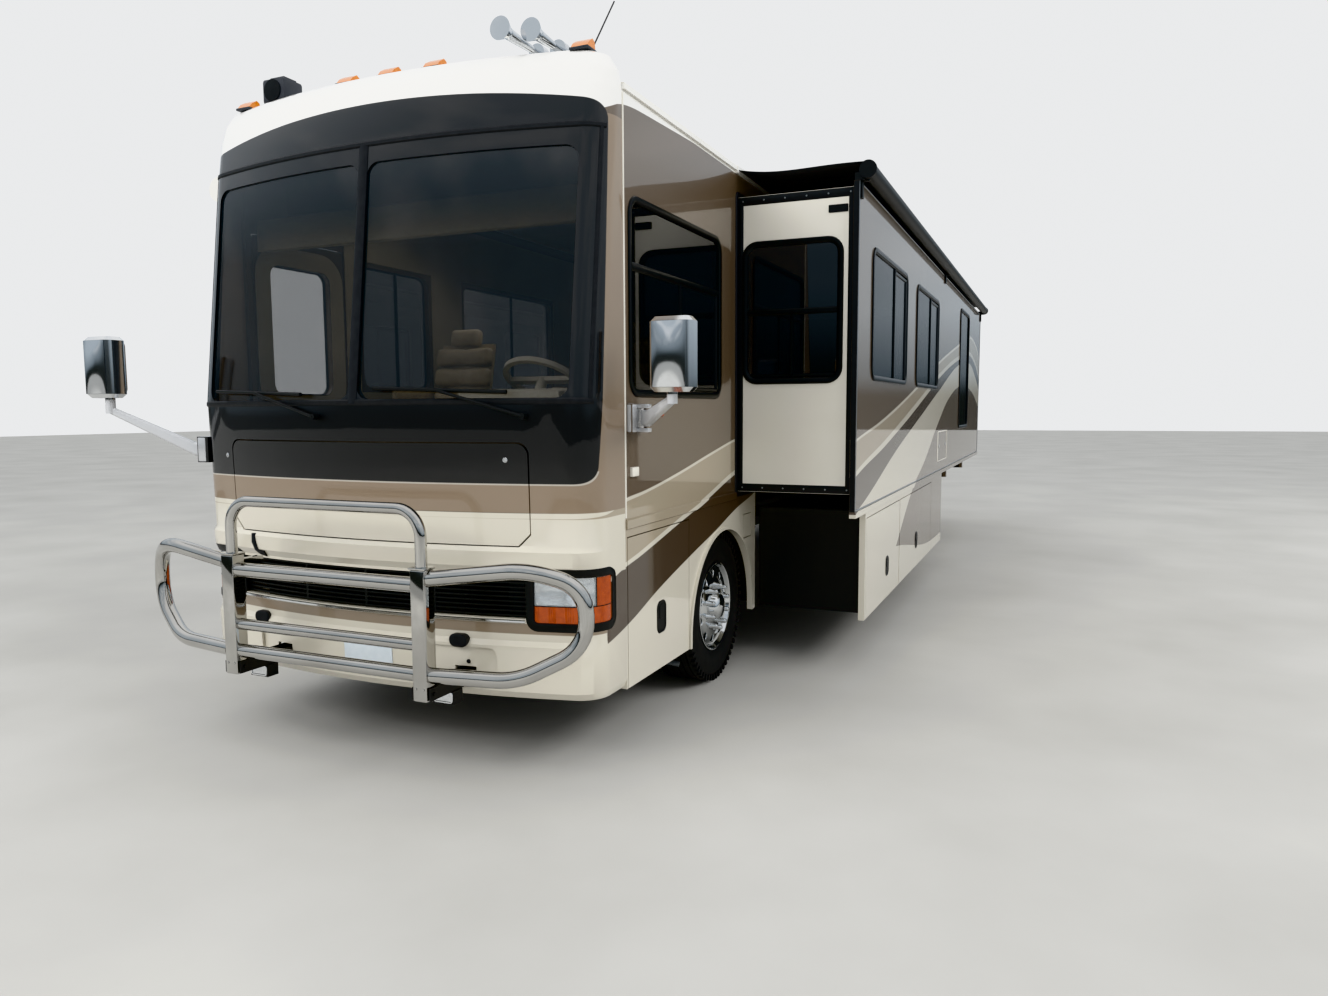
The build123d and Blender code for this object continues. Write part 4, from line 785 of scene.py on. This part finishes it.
housings = bmesh.new()
mirrors = bmesh.new()
clears = bmesh.new()
ambers = bmesh.new()
for side in (-1, 1):
    sheet(housings, nose, lamp_rect(side, lamp_in - 0.006, lamp_out + 0.035, 0.748, 0.982),
          -0.062, -0.056, 24, 2)
    sheet(mirrors, nose, lamp_rect(side, lamp_in, lamp_split, lamp_mid, lamp_high - 0.004),
          -0.055, bowls, 44, 22)
    sheet(clears, nose, lamp_rect(side, lamp_in, lamp_split, lamp_mid, lamp_high), -0.008, -0.003, 16, 4)
    for pane in ((lamp_split, lamp_out, lamp_mid, lamp_high),
                 (lamp_in, lamp_out, lamp_low, lamp_mid - 0.003)):
        sheet(ambers, nose, lamp_rect(side, *pane), -0.030,
              lambda u, v: -0.004 + 0.0012 * math.sin(u * 700), 90, 2)
    strip(housings, nose, run((side * lamp_split, lamp_mid), (side * lamp_split, lamp_high), 2),
          0.003, -0.03, -0.001)
    strip(housings, nose, run((side * lamp_in, lamp_mid), (side * lamp_out, lamp_mid), 16),
          0.002, -0.03, -0.001)
    moulding(housings, nose, lamp_rect(side, lamp_in, lamp_out, lamp_low, lamp_high), 0.018,
             ((0.0, -0.05), (0.0, 0.000), (0.003, 0.004), (0.038, 0.004), (0.044, 0.001), (0.044, -0.006)),
             5, 12)
housing = mesh_piece("headlamp_bezels", housings, black_abs)
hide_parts("headlamps")
mesh_piece("headlamp_reflectors", mirrors, reflector)
mesh_piece("headlamp_clear_lenses", clears, clear_lens)
mesh_piece("headlamp_amber_lenses", ambers, amber_lens)

# Bumper: a blank number plate bolted in its recess, with black rubber buffers
# above it and a rubber hold-down strap under the hatch
plate_white = grained("reflective_plate_sheet", "#DCE4EA", "#CFD9E0", 0.05, 0.35)


def ahead(row):
    """A face that looks forwards, at a row behind the nose."""
    return lambda a, b, w: at(a, row - w, b)


bm = bmesh.new()
plate(bm, nose, (-0.141, 0.462, 0.173, 0.612), 0.012, -0.020, -0.013, 0.0008)
mesh_piece("number_plate", bm, plate_white)
bm = bmesh.new()
for x, row in ((-0.756, 0.100), (0.580, 0.072)):
    plate(bm, ahead(row), (x - 0.052, 0.622, x + 0.052, 0.688), 0.032, 0.0, 0.040, 0.006)
round_plate(bm, nose, 0.622, 0.545, 0.011, -0.020, -0.011, 0.004)
strip(bm, nose, [(-0.800, 1.122), (-0.797, 1.075), (-0.780, 1.032), (-0.765, 1.018), (-0.715, 1.012)],
      0.017, 0.001, 0.011)
mesh_piece("bumper_buffers", bm, black_rubber)
bm = bmesh.new()
for u in (-0.08, 0.11):
    round_plate(bm, nose, u, 0.592, 0.007, -0.014, -0.009)
mesh_piece("number_plate_bolts", bm, chrome_cover)

# Grille guard: bent and welded stainless tube on square pressed posts, polished all over,
# with two work lamps below
bright_steel = grained("polished_stainless_steel", "#C4C3C0", "#B2B0AC", 0.3, 0.05, 0.00005, metal=1.0)
guard_front = -0.289
guard_row = -0.249
guard_foot = 0.440
guard_top = 1.062
post_x = 0.6
post_half = 0.040
cap_half = 0.048
wing_tube = 0.038
weld = 0.0015


def bent(corners, radii, steps=9):
    """A path through corners, each rounded to its radius."""
    path = [corners[0]]
    for before, corner, after, radius in zip(corners, corners[1:], corners[2:], radii):
        arrive = (corner - before).normalized()
        leave = (after - corner).normalized()
        turn = arrive.angle(leave)
        reach = radius * math.tan(turn / 2)
        handle = radius * 4 / 3 * math.tan(turn / 4)
        start = corner - arrive * reach
        end = corner + leave * reach
        path += geometry.interpolate_bezier(start, start + arrive * handle, end - leave * handle, end, steps)
    return path + [corners[-1]]


def corners(a0, b0, a1, b1):
    """A rectangle's four corners."""
    return (a0, b0), (a1, b0), (a1, b1), (a0, b1)


bm = bmesh.new()
tall = corners(guard_front, guard_foot, guard_row + post_half, guard_top)
slot = corners(guard_row - 0.012, 0.463, guard_row + 0.012, 0.487)
for side in (-1, 1):
    x = side * post_x
    rings = [[bm.verts.new(at(x + off, *corner)) for corner in shape]
             for shape, off in ((tall, -post_half), (tall, post_half), (slot, post_half), (slot, -post_half))]
    joined(bm, rings)
    rim = set(rings[0] + rings[1])
    edges = [edge for vert in rim for edge in vert.link_edges if edge.other_vert(vert) in rim]
    bmesh.ops.bevel(bm, geom=list(set(edges)), offset=0.007, segments=3, affect="EDGES", profile=0.5)
    block(bm, at(x - cap_half, guard_front, guard_top),
          at(x + cap_half, guard_row + post_half, guard_top + 0.010), 0.003)
    block(bm, at(x - 0.020, guard_row + post_half, guard_top - 0.070),
          at(x + 0.020, guard_row + 0.180, guard_top - 0.030), 0.003)
    wing = [at(side * a, b, c) for a, b, c in (
        (post_x, guard_row, 1.015), (1.13, -0.189, 1.082), (1.363, -0.066, 1.000),
        (1.363, -0.066, 0.720), (1.07, -0.189, 0.566), (post_x, guard_row, 0.560))]
    tube(bm, bent(wing, (0.38, 0.175, 0.20, 0.40)), wing_tube, 28)
    for height in (1.020, 0.561):
        tube(bm, [at(x + side * off, guard_row, height) for off in (post_half, post_half + weld)],
             wing_tube + weld, 28)
for height, radius in ((0.985, 0.037), (0.700, 0.029), (0.560, 0.035)):
    tube(bm, [at(x, guard_row, height) for x in (-post_x, post_x)], radius, 28)
    for x in (-post_x + post_half, post_x - post_half - weld):
        tube(bm, [at(x + off, guard_row, height) for off in (0, weld)], radius + weld, 28)
hoop = [at(x, guard_row, z) for x, z in (
    (-post_x, guard_top - 0.020), (-post_x, 1.340), (post_x, 1.340), (post_x, guard_top - 0.020))]
tube(bm, bent(hoop, (0.13, 0.13), 12), 0.028, 28)
guard = mesh_piece("guard_tubes_and_posts", bm, bright_steel, "grille_guard", smooth=20)
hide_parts("grille_guard")
bm = bmesh.new()
glow = bmesh.new()
bolts = bmesh.new()
for x in (-post_x, post_x):
    moulding(bm, ahead(-0.112), (x - 0.048, 0.393, x + 0.048, 0.437), 0.006,
             ((0.0, -0.002), (0.0, 0.006), (0.006, 0.006), (0.008, 0.0), (0.008, -0.002)), 3)
    plate(glow, ahead(-0.112), (x - 0.047, 0.394, x + 0.047, 0.436), 0.006, -0.001, 0.003, 0.001)
    for off in (-0.022, 0.022):
        round_plate(bolts, ahead(guard_front), x + off, 0.500, 0.007, -0.001, 0.003, 0.001)
mesh_piece("work_lamp_rims", bm, chrome_cover)
mesh_piece("work_lamp_faces", glow, reflector)
mesh_piece("guard_post_bolts", bolts, bright_steel, "grille_guard")


# Coach side: white mouldings over the joints, and black paddle latches on every bay door
white_trim = grained("white_vinyl_moulding", "#E9E5DB", "#DDD8CC", 0.3, 0.35)
black_paint = grained("black_powder_coat", "#151617", "#202122", 0.03, 0.38, 0.0001)
satin_aluminium = grained("satin_aluminium", "#A7AAAC", "#989B9D", 0.1, 0.3, metal=1.0)
bm = bmesh.new()
for place in (left, right):
    for row in (0.512, 11.85):
        strip(bm, place, run((row, 1.245), (row, 3.33), 4), 0.007, -0.002, 0.004)
    strip(bm, place, run((0.53, 3.372), (11.84, 3.372), 2), 0.011, -0.016, 0.005)
block(bm, at(1.284, 0.562, 1.452), at(1.302, 0.642, 1.500), 0.004)
mesh_piece("joint_mouldings", bm, white_trim)


def slide_side(a, b, w):
    """A place on the slide-out's outer face."""
    return at(2.097 + w, a, b)


def latch(bm, place, a, b, wide, high):
    """A paddle latch: an oval dish with a hinged paddle across it."""
    rect = (a - wide / 2, b - high / 2, a + wide / 2, b + high / 2)
    moulding(bm, place, rect, 0.03,
             ((-0.004, -0.002), (-0.004, 0.002), (0.0, 0.005), (0.008, 0.005), (0.012, 0.0)))
    plate(bm, place, rect, 0.03, -0.002, 0.0015, 0.0005)
    plate(bm, place, (rect[0] + 0.02, b - 0.01, rect[2] - 0.02, rect[3] - 0.012), 0.012, 0.001, 0.0045)


for body, face, rows, height, size in (
        ("bay_door_front_left", left, (0.955,), 0.645, (0.1, 0.16)),
        ("bay_door_rear_left", left, (9.45, 10.75), 0.56, (0.1, 0.16)),
        ("bay_door_right_1", right, (3.0, 4.75), 0.56, (0.1, 0.16)),
        ("bay_door_right_2", right, (5.4, 7.2), 0.56, (0.1, 0.16)),
        ("bay_door_right_3", right, (9.55, 10.65), 0.56, (0.1, 0.16)),
        ("slide_door_1", slide_side, (3.43,), 0.59, (0.09, 0.13)),
        ("slide_door_2", slide_side, (4.95,), 0.59, (0.09, 0.13))):
    bm = bmesh.new()
    for row in rows:
        latch(bm, face, row, height, *size)
    mesh_piece(body + "_latches", bm, black_abs, body)

# Windows: tinted panes in black anodised frames with rounded corners. The driver's has a
# fixed top over a sliding pair, and the slide-out's slide sideways.
black_frame = grained("black_anodised_aluminium", "#141515", "#1E1F1F", 0.05, 0.3, metal=0.3)
privacy_glass = new_finish(
    "privacy_tinted_glass", {"Base Color": "#0B0D0F", "Roughness": 0.02, "IOR": 2.1, "Alpha": 0.74})[0]
door_glass = new_finish(
    "light_tinted_glass", {"Base Color": "#3A4A50", "Roughness": 0.02, "IOR": 1.5, "Alpha": 0.3})[0]
window_corner = 0.07
frame_profile = ((-0.006, -0.014), (-0.006, 0.004), (0.0, 0.008), (0.012, 0.0115), (0.030, 0.010),
                 (0.034, 0.0))
slide_end = ahead(2.237)
slide_panes = ((2.692, 2.016, 4.128, 2.85), (4.727, 2.016, 6.197, 2.85))
entry_pane = (0.69, 1.90, 1.19, 2.70)


def upright(rect, share, half):
    """A bar up a window at a share of its width."""
    row = rect[0] + share * (rect[2] - rect[0])
    return (row, rect[1]), (row, rect[3]), half


def windows(names, body, node, glass, openings):
    """One body's windows as frames and panes, each opening a face, a rectangle and its bars."""
    frames = bmesh.new()
    panes = bmesh.new()
    for place, rect, bars in openings:
        moulding(frames, place, rect, window_corner, frame_profile)
        for start, end, half in bars:
            strip(frames, place, [start, end], half, -0.012, 0.0045)
        plate(panes, place, rect, window_corner, -0.010, -0.005, 0.001)
    frame_set = mesh_piece(names[0], frames, black_frame, body)
    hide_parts(node)
    mesh_piece(names[1], panes, glass, body)


openings = [(left, (0.592, 1.891, 1.879, 2.834), (
    ((0.59, 2.515), (1.88, 2.515), 0.022), ((1.25, 1.89), (1.25, 2.50), 0.013),
    ((1.845, 1.90), (1.845, 2.50), 0.018), ((1.26, 1.912), (1.87, 1.912), 0.012)))]
for rect in ((1.5, 1.96, 2.24, 2.8), (2.7, 1.96, 4.1, 2.8), (4.9, 1.96, 6.1, 2.8), (7.0, 2.3, 7.7, 2.8),
             (9.3, 1.96, 10.5, 2.8)):
    openings.append((right, rect, (upright(rect, 0.55, 0.013),)))
windows(("coach_window_frames", "coach_window_panes"), "coach", "side_windows", privacy_glass, openings)
windows(("entry_window_frame", "entry_window_pane"), "entry_door", "entry_glass", door_glass,
        [(right, entry_pane, ())])
openings = []
for rect in slide_panes:
    split = upright(rect, 0.6, 0.016)
    jamb = rect[2] - 0.035
    head = rect[3] - 0.03
    openings.append((slide_side, rect, (
        split, ((jamb, rect[1] + 0.02), (jamb, rect[3] - 0.02), 0.028),
        ((split[0][0], head), (rect[2], head), 0.014))))
openings.append((slide_side, (8.4, 1.57, 9.45, 3.0), ()))
openings.append((slide_end, (1.352, 1.99, 1.963, 2.855), (
    ((1.35, 2.425), (1.965, 2.425), 0.020), ((1.66, 2.0), (1.66, 2.41), 0.012),
    ((1.38, 2.012), (1.94, 2.012), 0.012))))
windows(("slide_window_frames", "slide_window_panes"), "slide_out", "slide_windows", privacy_glass, openings)
bm = bmesh.new()
for rect in slide_panes:
    for grow in (0.008, 0.020):
        strip(bm, slide_side, run((rect[0] + window_corner, rect[3] + grow),
                                  (rect[2] - window_corner, rect[3] + grow), 2), 0.0022, 0.008, 0.0125)
mesh_piece("slide_window_drip_lines", bm, satin_aluminium, "slide_out")

# Slide-out trims: black aluminium angles riveted along the end face's edges, a rubber bulb
# seal up its outer corner and round the hole in the coach's wall
bm = bmesh.new()
for start, end, half, front in (
        ((1.292, 3.150), (2.056, 3.150), 0.028, 0.0035), ((1.292, 1.268), (2.056, 1.268), 0.026, 0.0035),
        ((1.310, 1.245), (1.310, 3.175), 0.018, 0.003), ((2.040, 1.245), (2.040, 3.175), 0.016, 0.004)):
    strip(bm, slide_end, run(start, end, 2), half, -0.002, front)
strip(bm, ahead(2.192), run((2.080, 1.132), (2.080, 3.202), 2), 0.0165, -0.001, 0.004, square)
mesh_piece("slide_end_trims", bm, black_paint, "slide_out")
bm = bmesh.new()
round_plate(bm, lambda a, b, w: (a, -w, b), 0.0, 0.0, 0.006, 0.0, 0.003, 0.001)
rows_of("slide_end_rivets", bm, satin_aluminium, "slide_out", 6, (0.142, 0, 0),
        [at(1.325, 2.234, height) for height in (3.150, 1.268)])
bm = bmesh.new()
for start, end in (((2.20, 3.200), (11.22, 3.200)), ((2.20, 1.136), (11.22, 1.136)),
                   ((2.199, 1.14), (2.199, 3.196)), ((11.224, 1.14), (11.224, 3.196))):
    strip(bm, slide_side, run(start, end, 2), 0.006, -0.002, 0.004)
mesh_piece("slide_fascia_edging", bm, satin_aluminium, "slide_out")
bm = bmesh.new()
moulding(bm, left, (2.237, 1.24, 11.186, 3.18), 0.004,
         ((0.009, -0.004), (0.009, 0.010), (0.014, 0.012), (0.036, 0.010), (0.042, 0.0), (0.042, -0.004)), 2)
mesh_piece("slide_wall_seal", bm, black_rubber)
bm = bmesh.new()
plate(bm, slide_end, (1.895, 3.030, 2.020, 3.078), 0.006, -0.002, 0.007)
mesh_piece("slide_marker_slot", bm, black_abs, "slide_out")
bm = bmesh.new()
moulding(bm, slide_side, (6.39, 1.235, 7.18, 1.545), 0.02,
         ((-0.004, -0.002), (-0.004, 0.002), (0.0, 0.004), (0.006, 0.0)), 4)
mesh_piece("service_door_frame", bm, white_trim, "slide_out")
bm = bmesh.new()
for row in (6.50, 7.07):
    round_plate(bm, slide_side, row, 1.39, 0.018, -0.001, 0.005)
mesh_piece("service_door_locks", bm, chrome_cover, "slide_out")

# Topper: vinyl-coated polyester awning cloth from the roof's rail to a spring roller in
# black brackets.
dress(black_abs, "topper_roller")
awning_cloth = grained("vinyl_coated_awning_cloth", "#26272A", "#313236", 0.01, 0.55, 0.0004)
rail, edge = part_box("topper_fabric")
bm = bmesh.new()
columns = 24
bands = 60
rows = []
for i in range(bands + 1):
    row = rail.y + (edge.y - rail.y) * i / bands
    line = []
    for j in range(columns + 1):
        share = j / columns
        sag = 0.05 * math.sin(math.pi * share) * (1 - share) ** 1.5
        line.append(bm.verts.new((rail.x + (edge.x - rail.x) * share, row,
                                  edge.z + (rail.z + 0.004 - edge.z) * share - sag + 0.001)))
    rows.append(line)
netted(bm, rows)
topper = mesh_piece("slide_topper_cloth", bm, awning_cloth, None)
wall = topper.modifiers.new("thickness", "SOLIDIFY")
wall.thickness = 0.002
plain_mesh(topper)
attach(topper, "coach")
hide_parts("topper_fabric")
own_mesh(topper)
bm = bmesh.new()
for row in (2.215, 11.16):
    block(bm, at(2.098, row, 3.10), at(2.112, row + 0.05, 3.24), 0.003)
    block(bm, at(2.098, row + 0.012, 3.20), at(2.150, row + 0.038, 3.235), 0.003)
block(bm, at(2.098, 6.66, 3.12), at(2.110, 6.74, 3.225), 0.003)
mesh_piece("topper_brackets", bm, black_paint, "slide_out")

# Roof gear: amber clearance lamps on the cap, a hooded searchlight, chromed air horns,
# shrouded air conditioners and vents
white_abs, tree, shader = new_finish("white_moulded_abs", {"Roughness": 0.4})
antenna_side = 0.9
place = place_from_nose(tree)
tree.links.new(sprayed(tree, colour("#E6E4DE"), "#161617", (place["X"], antenna_side, 1)),
               shader.inputs["Base Color"])
pale_amber = grained("pale_amber_polycarbonate", "#DB862F", "#C06C1E", 0.02, 0.15, coat=0.7)
grey_abs = grained("dark_grey_moulded_abs", "#3A3C41", "#43464B", 0.05, 0.5, 0.0002)
dress(chrome_cover, "air_horns")
dress(white_abs, "roof_units", "patio_awning")
lenses = bmesh.new()
bases = bmesh.new()
lamp_half = 0.052
for x, row in ((-1.10, 0.435), (-0.285, 0.352), (0.0, 0.345), (0.285, 0.352), (1.10, 0.435)):
    block(bases, at(x - lamp_half, row - 0.024, 3.526), at(x + lamp_half, row + 0.075, 3.540), 0.004)
    ridge = [(row + along, z) for along, z in (
        (-0.020, 3.536), (0.068, 3.536), (0.060, 3.578), (0.040, 3.588), (0.005, 3.566))]
    joined(lenses, [[lenses.verts.new(at(x + side, y, z)) for y, z in ridge]
                    for side in (-lamp_half + 0.006, lamp_half - 0.006)], closed=False)
marker = mesh_piece("clearance_lamp_lenses", lenses, pale_amber)
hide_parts("roof_lamps")
mesh_piece("clearance_lamp_bases", bases, grey_abs)
bm = bmesh.new()
block(bm, at(-1.105, 0.565, 3.598), at(-0.935, 0.720, 3.742), 0.018)
block(bm, at(-1.050, 0.60, 3.520), at(-0.990, 0.70, 3.62), 0.006)
block(bm, at(-1.075, 0.60, 3.735), at(-0.965, 0.70, 3.757), 0.006)
mesh_piece("searchlight", bm, grey_abs)
bm = bmesh.new()
lathe(bm, [(0.0, tip), (0.0, 0.062), (0.004, 0.062), (0.006, tip)], Vector((0, 0, 0)), 1, 32)
forwards = Matrix.Translation(at(-1.02, 0.562, 3.67)) @ Matrix.Rotation(-math.pi / 2, 4, "Z")
bmesh.ops.transform(bm, matrix=forwards, verts=bm.verts)
mesh_piece("searchlight_lens", bm, black_abs)
bm = bmesh.new()
block(bm, Vector((-0.25, -0.004, -0.008)), Vector((0.25, 0.004, 0.008)), 0.002)
rows_of("air_conditioner_louvres", bm, black_abs, "coach", 7, (0, 0, 0.024),
        [at(0, row + 0.50, 3.552) for row in (3.3, 8.6)])

# Tail: red lamp columns in chromed bezels, red marker lamps and a polished ladder
dress(bright_steel, "ladder")
dress(red_lens, "tail_lamps")


def tail(a, b, w):
    """A place on the tail's face."""
    return at(a, 12.15 + w, b)


bm = bmesh.new()
for x in (-1.075, 1.075):
    moulding(bm, tail, (x - 0.055, 1.05, x + 0.055, 1.65), 0.02,
             ((0.0, -0.004), (0.0, 0.012), (0.004, 0.014), (0.012, 0.012), (0.016, 0.0), (0.016, -0.004)))
    for height in (1.25, 1.45):
        strip(bm, tail, [(x - 0.055, height), (x + 0.055, height)], 0.006, 0.0, 0.014)
mesh_piece("tail_lamp_bezels", bm, chrome_cover)
bm = bmesh.new()
for x in (-1.05, -0.16, 0.0, 0.16, 1.05):
    plate(bm, tail, (x - 0.05, 3.26, x + 0.05, 3.295), 0.012, -0.03, 0.014)
mesh_piece("tail_marker_lamps", bm, red_lens)

# Right side: a chromed entry handle and lock, and a steel grab rail beside the door
bm = bmesh.new()
plate(bm, right, (1.215, 1.50, 1.285, 1.66), 0.02, -0.002, 0.004)
tube(bm, [right(1.25, b, w) for b, w in (
    (1.53, 0.0), (1.535, 0.034), (1.56, 0.044), (1.61, 0.044), (1.635, 0.034), (1.64, 0.0))], 0.009)
round_plate(bm, right, 1.25, 1.45, 0.014, -0.002, 0.006)
mesh_piece("entry_handle", bm, chrome_cover, "entry_door")
bm = bmesh.new()
tube(bm, [right(1.40, b, w) for b, w in (
    (1.05, 0.0), (1.06, 0.045), (1.10, 0.055), (1.60, 0.055), (1.64, 0.045), (1.65, 0.0))], 0.013)
mesh_piece("entry_grab_rail", bm, bright_steel)

# Mirrors: chromed heads on silver cast arms, with flat glass in the back of each head and
# an amber repeater below the driver's window
silver_paint = grained("silver_enamel", "#C9CACC", "#BDBEC0", 0.2, 0.25, metal=0.4, coat=0.7)
mirror_glass = new_finish(
    "silvered_glass", {"Base Color": "#C8CCD0", "Roughness": 0.01, "Metallic": 1.0})[0]
bm = bmesh.new()
for side, row, height in ((1, 0.620, 1.750), (-1, 0.245, 1.575)):
    for ends, half, low, high, bevel in (((1.240, 1.3125), 0.0815, -0.0755, 0.0755, 0.010),
                                         ((1.300, 1.3725), 0.0255, -0.0715, -0.050, 0.003),
                                         ((1.300, 1.3725), 0.0255, 0.050, 0.0715, 0.003)):
        near, far = sorted(side * end for end in ends)
        block(bm, at(near, row - half, height + low), at(far, row + half, height + high), bevel)
mesh_piece("mirror_feet", bm, silver_paint)
bm = bmesh.new()
plate(bm, left, (0.825, 1.752, 0.965, 1.800), 0.022, -0.002, 0.022, 0.008)
mesh_piece("side_repeater", bm, amber_lens)
head_chrome, tree, shader = new_finish("chrome_head_on_silver_arm", {"Roughness": 0.1, "Coat Weight": 0.3})
height = place_from_nose(tree)["Z"]
tree.links.new(sprayed(tree, colour("#C9CACC"), "#DFE1E3", (height, 1.865, 1)), shader.inputs["Base Color"])
tree.links.new(ranged(tree, height, 1.864, 1.866), shader.inputs["Metallic"])
dress(head_chrome, "mirror_left", "mirror_right")
for body, face_x, head_row in (("mirror_left", 1.620, 0.350), ("mirror_right", -1.790, -0.025)):
    bm = bmesh.new()
    sheet(bm, ahead(head_row - 0.065), (face_x - 0.086, 1.898, face_x + 0.086, 2.202), -0.001,
          lambda a, b, x=face_x: 0.001 + 0.014 * (1 - ((a - x) / 0.087) ** 2)
          * (1 - ((b - 2.05) / 0.153) ** 2), 20, 30)
    mesh_piece(body + "_cover", bm, chrome_cover, body)
    bm = bmesh.new()
    plate(bm, lambda a, b, w, row=head_row: at(a, row + 0.065 + w, b),
          (face_x - 0.085, 1.900, face_x + 0.085, 2.200), 0.03, -0.003, 0.002, 0.001)
    mesh_piece(body + "_glass", bm, mirror_glass, body)

# Cockpit: leather chairs, stuffed in sewn rolls, before a vinyl dashboard with an instrument
# hood. A varnished cherry cabinet and a fabric valance hang over the screen.
leather = grained("beige_leather", "#C2B49A", "#AD9F85", 0.05, 0.5, 0.0006)
dash_vinyl = grained("grained_dash_vinyl", "#8A8172", "#7A7163", 0.02, 0.6, 0.0004)
hood_vinyl = grained("pale_grained_vinyl", "#CDC5B2", "#BDB4A0", 0.02, 0.5, 0.0004)
cherry = grained("varnished_cherry", "#6B3F22", "#4E2B15", 0.05, 0.3, stretch=(1, 1, 8))
wheel_grip = grained("cream_wheel_grip", "#CFC8B8", "#BFB7A5", 0.05, 0.45)
linen = grained("pleated_fabric_valance", "#CDBFA4", "#BFB094", 0.02, 0.9, 0.0004)
wall_vinyl = grained("vinyl_wall_covering", "#A99E88", "#9B907B", 0.4, 0.7)
dress(dash_vinyl, "dashboard")
dress(wheel_grip, "steering_wheel")
dress(cherry, "overhead_cabinet")
pad_voxel = 0.012
pad_pressure = 4.0
pad_swell = 0.024
pad_frames = 20


def stuffed(size, bevel):
    """The mesh of a leather pad: a rounded box blown up by cloth simulation, then smoothed once."""
    bm = bmesh.new()
    block(bm, -size / 2, size / 2, bevel)
    pad = mesh_piece("pad_form", bm, leather, None)
    skin = pad.modifiers.new("skin", "REMESH")
    skin.mode = "VOXEL"
    skin.voxel_size = pad_voxel
    plain_mesh(pad)
    before = [vert.co.copy() for vert in pad.data.vertices]
    cloth = pad.modifiers.new("stuffing", "CLOTH")
    cloth.settings.use_pressure = True
    cloth.settings.uniform_pressure_force = pad_pressure
    cloth.settings.effector_weights.gravity = 0.0
    cloth.point_cache.frame_end = pad_frames
    for number in range(1, pad_frames + 1):
        scene.frame_set(number)
    plain_mesh(pad)
    for vert, start in zip(pad.data.vertices, before):
        move = vert.co - start
        if move.length > pad_swell:
            vert.co = start + move * (pad_swell / move.length)
    scene.frame_set(1)
    smooth = pad.modifiers.new("smooth", "SUBSURF")
    smooth.levels = 1
    smooth.render_levels = 1
    plain_mesh(pad)
    mesh = pad.data
    bpy.data.objects.remove(pad)
    mesh.polygons.foreach_set("use_smooth", [True] * len(mesh.polygons))
    return mesh


chair_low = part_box("front_chairs")[0]
seat_x = 0.62
seat_pad = stuffed(Vector((0.49, 0.50, 0.125)), 0.035)
long_roll = stuffed(Vector((0.46, 0.085, 0.25)), 0.03)
short_roll = stuffed(Vector((0.46, 0.085, 0.13)), 0.03)
head_roll = stuffed(Vector((0.25, 0.08, 0.12)), 0.03)
lean = Matrix.Rotation(math.atan2(-0.2, 0.98), 4, "X")
bm = bmesh.new()
frames = bmesh.new()
for side, word in ((1, "driver"), (-1, "passenger")):
    middle = side * seat_x
    hinge = Matrix.Translation(at(middle, 1.73, 1.65)) @ lean
    for part, mesh, spot in (
            ("seat", seat_pad, Matrix.Translation(at(middle, 1.515, 1.64))),
            ("lower_back", long_roll, hinge @ Matrix.Translation((0, 0, 0.165))),
            ("middle_back", short_roll, hinge @ Matrix.Translation((0, 0, 0.385))),
            ("upper_back", short_roll, hinge @ Matrix.Translation((0, 0, 0.53))),
            ("headrest", head_roll, hinge @ Matrix.Translation((0, 0, 0.67)))):
        own = mesh.copy()
        own.transform(spot)
        pad = bpy.data.objects.new("%s_%s_pad" % (word, part), own)
        scene.collection.objects.link(pad)
        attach(pad, "coach")
    block(bm, at(middle - 0.20, 1.30, 1.545), at(middle + 0.20, 1.73, 1.60), 0.012)
    shell = bmesh.ops.create_cube(bm, size=1.0)["verts"]
    size = Matrix.Diagonal((0.43, 0.03, 0.60, 1))
    bmesh.ops.transform(bm, matrix=hinge @ Matrix.Translation((0, 0.042, 0.33)) @ size, verts=shell)
    for x in (middle - 0.26, middle + 0.26):
        block(bm, at(x - 0.025, 1.38, 1.865), at(x + 0.025, 1.81, 1.935), 0.018)
        block(frames, at(x - 0.012, 1.72, 1.68), at(x + 0.012, 1.77, 1.88), 0.004)
    block(frames, at(middle - 0.18, 1.35, chair_low.z), at(middle + 0.18, 1.70, 1.55), 0.01)
upholstery = mesh_piece("chair_arms_and_shells", bm, leather)
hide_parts("front_chairs")
mesh_piece("chair_pedestals", frames, black_paint)

bm = bmesh.new()
block(bm, at(0.30, 0.43, 1.745), at(0.96, 0.70, 1.905), 0.045)
mesh_piece("instrument_hood", bm, hood_vinyl)
bm = bmesh.new()
block(bm, at(-1.13, 0.50, 2.74), at(1.13, 0.56, 2.92), 0.006)
mesh_piece("screen_valance", bm, linen)
bm = bmesh.new()
lining = 1.234
sheet_half = 0.002
panels = [(1, (0.53, 2.21), (1.17, 1.86)), (1, (0.53, 2.21), (2.865, 3.25)),
          (1, (1.915, 2.21), (1.86, 2.865)), (-1, (1.335, 10.9), (1.17, 1.925)),
          (-1, (1.335, 10.9), (2.835, 3.25))]
for rows in ((1.335, 1.465), (2.275, 2.665), (4.135, 4.865), (6.135, 6.965), (7.735, 9.265)):
    panels.append((-1, rows, (1.925, 2.835)))
for side, rows, heights in panels:
    middle = side * (lining - sheet_half)
    block(bm, at(middle - sheet_half, rows[0], heights[0]), at(middle + sheet_half, rows[1], heights[1]))
mesh_piece("wall_linings", bm, wall_vinyl)
bm = bmesh.new()
moulding(bm, lambda a, b, w: at(w - lining, a, b), entry_pane, window_corner,
         ((0.004, 0.0), (0.004, 0.004), (0.12, 0.004), (0.12, 0.0)))
mesh_piece("entry_door_lining", bm, wall_vinyl, "entry_door")
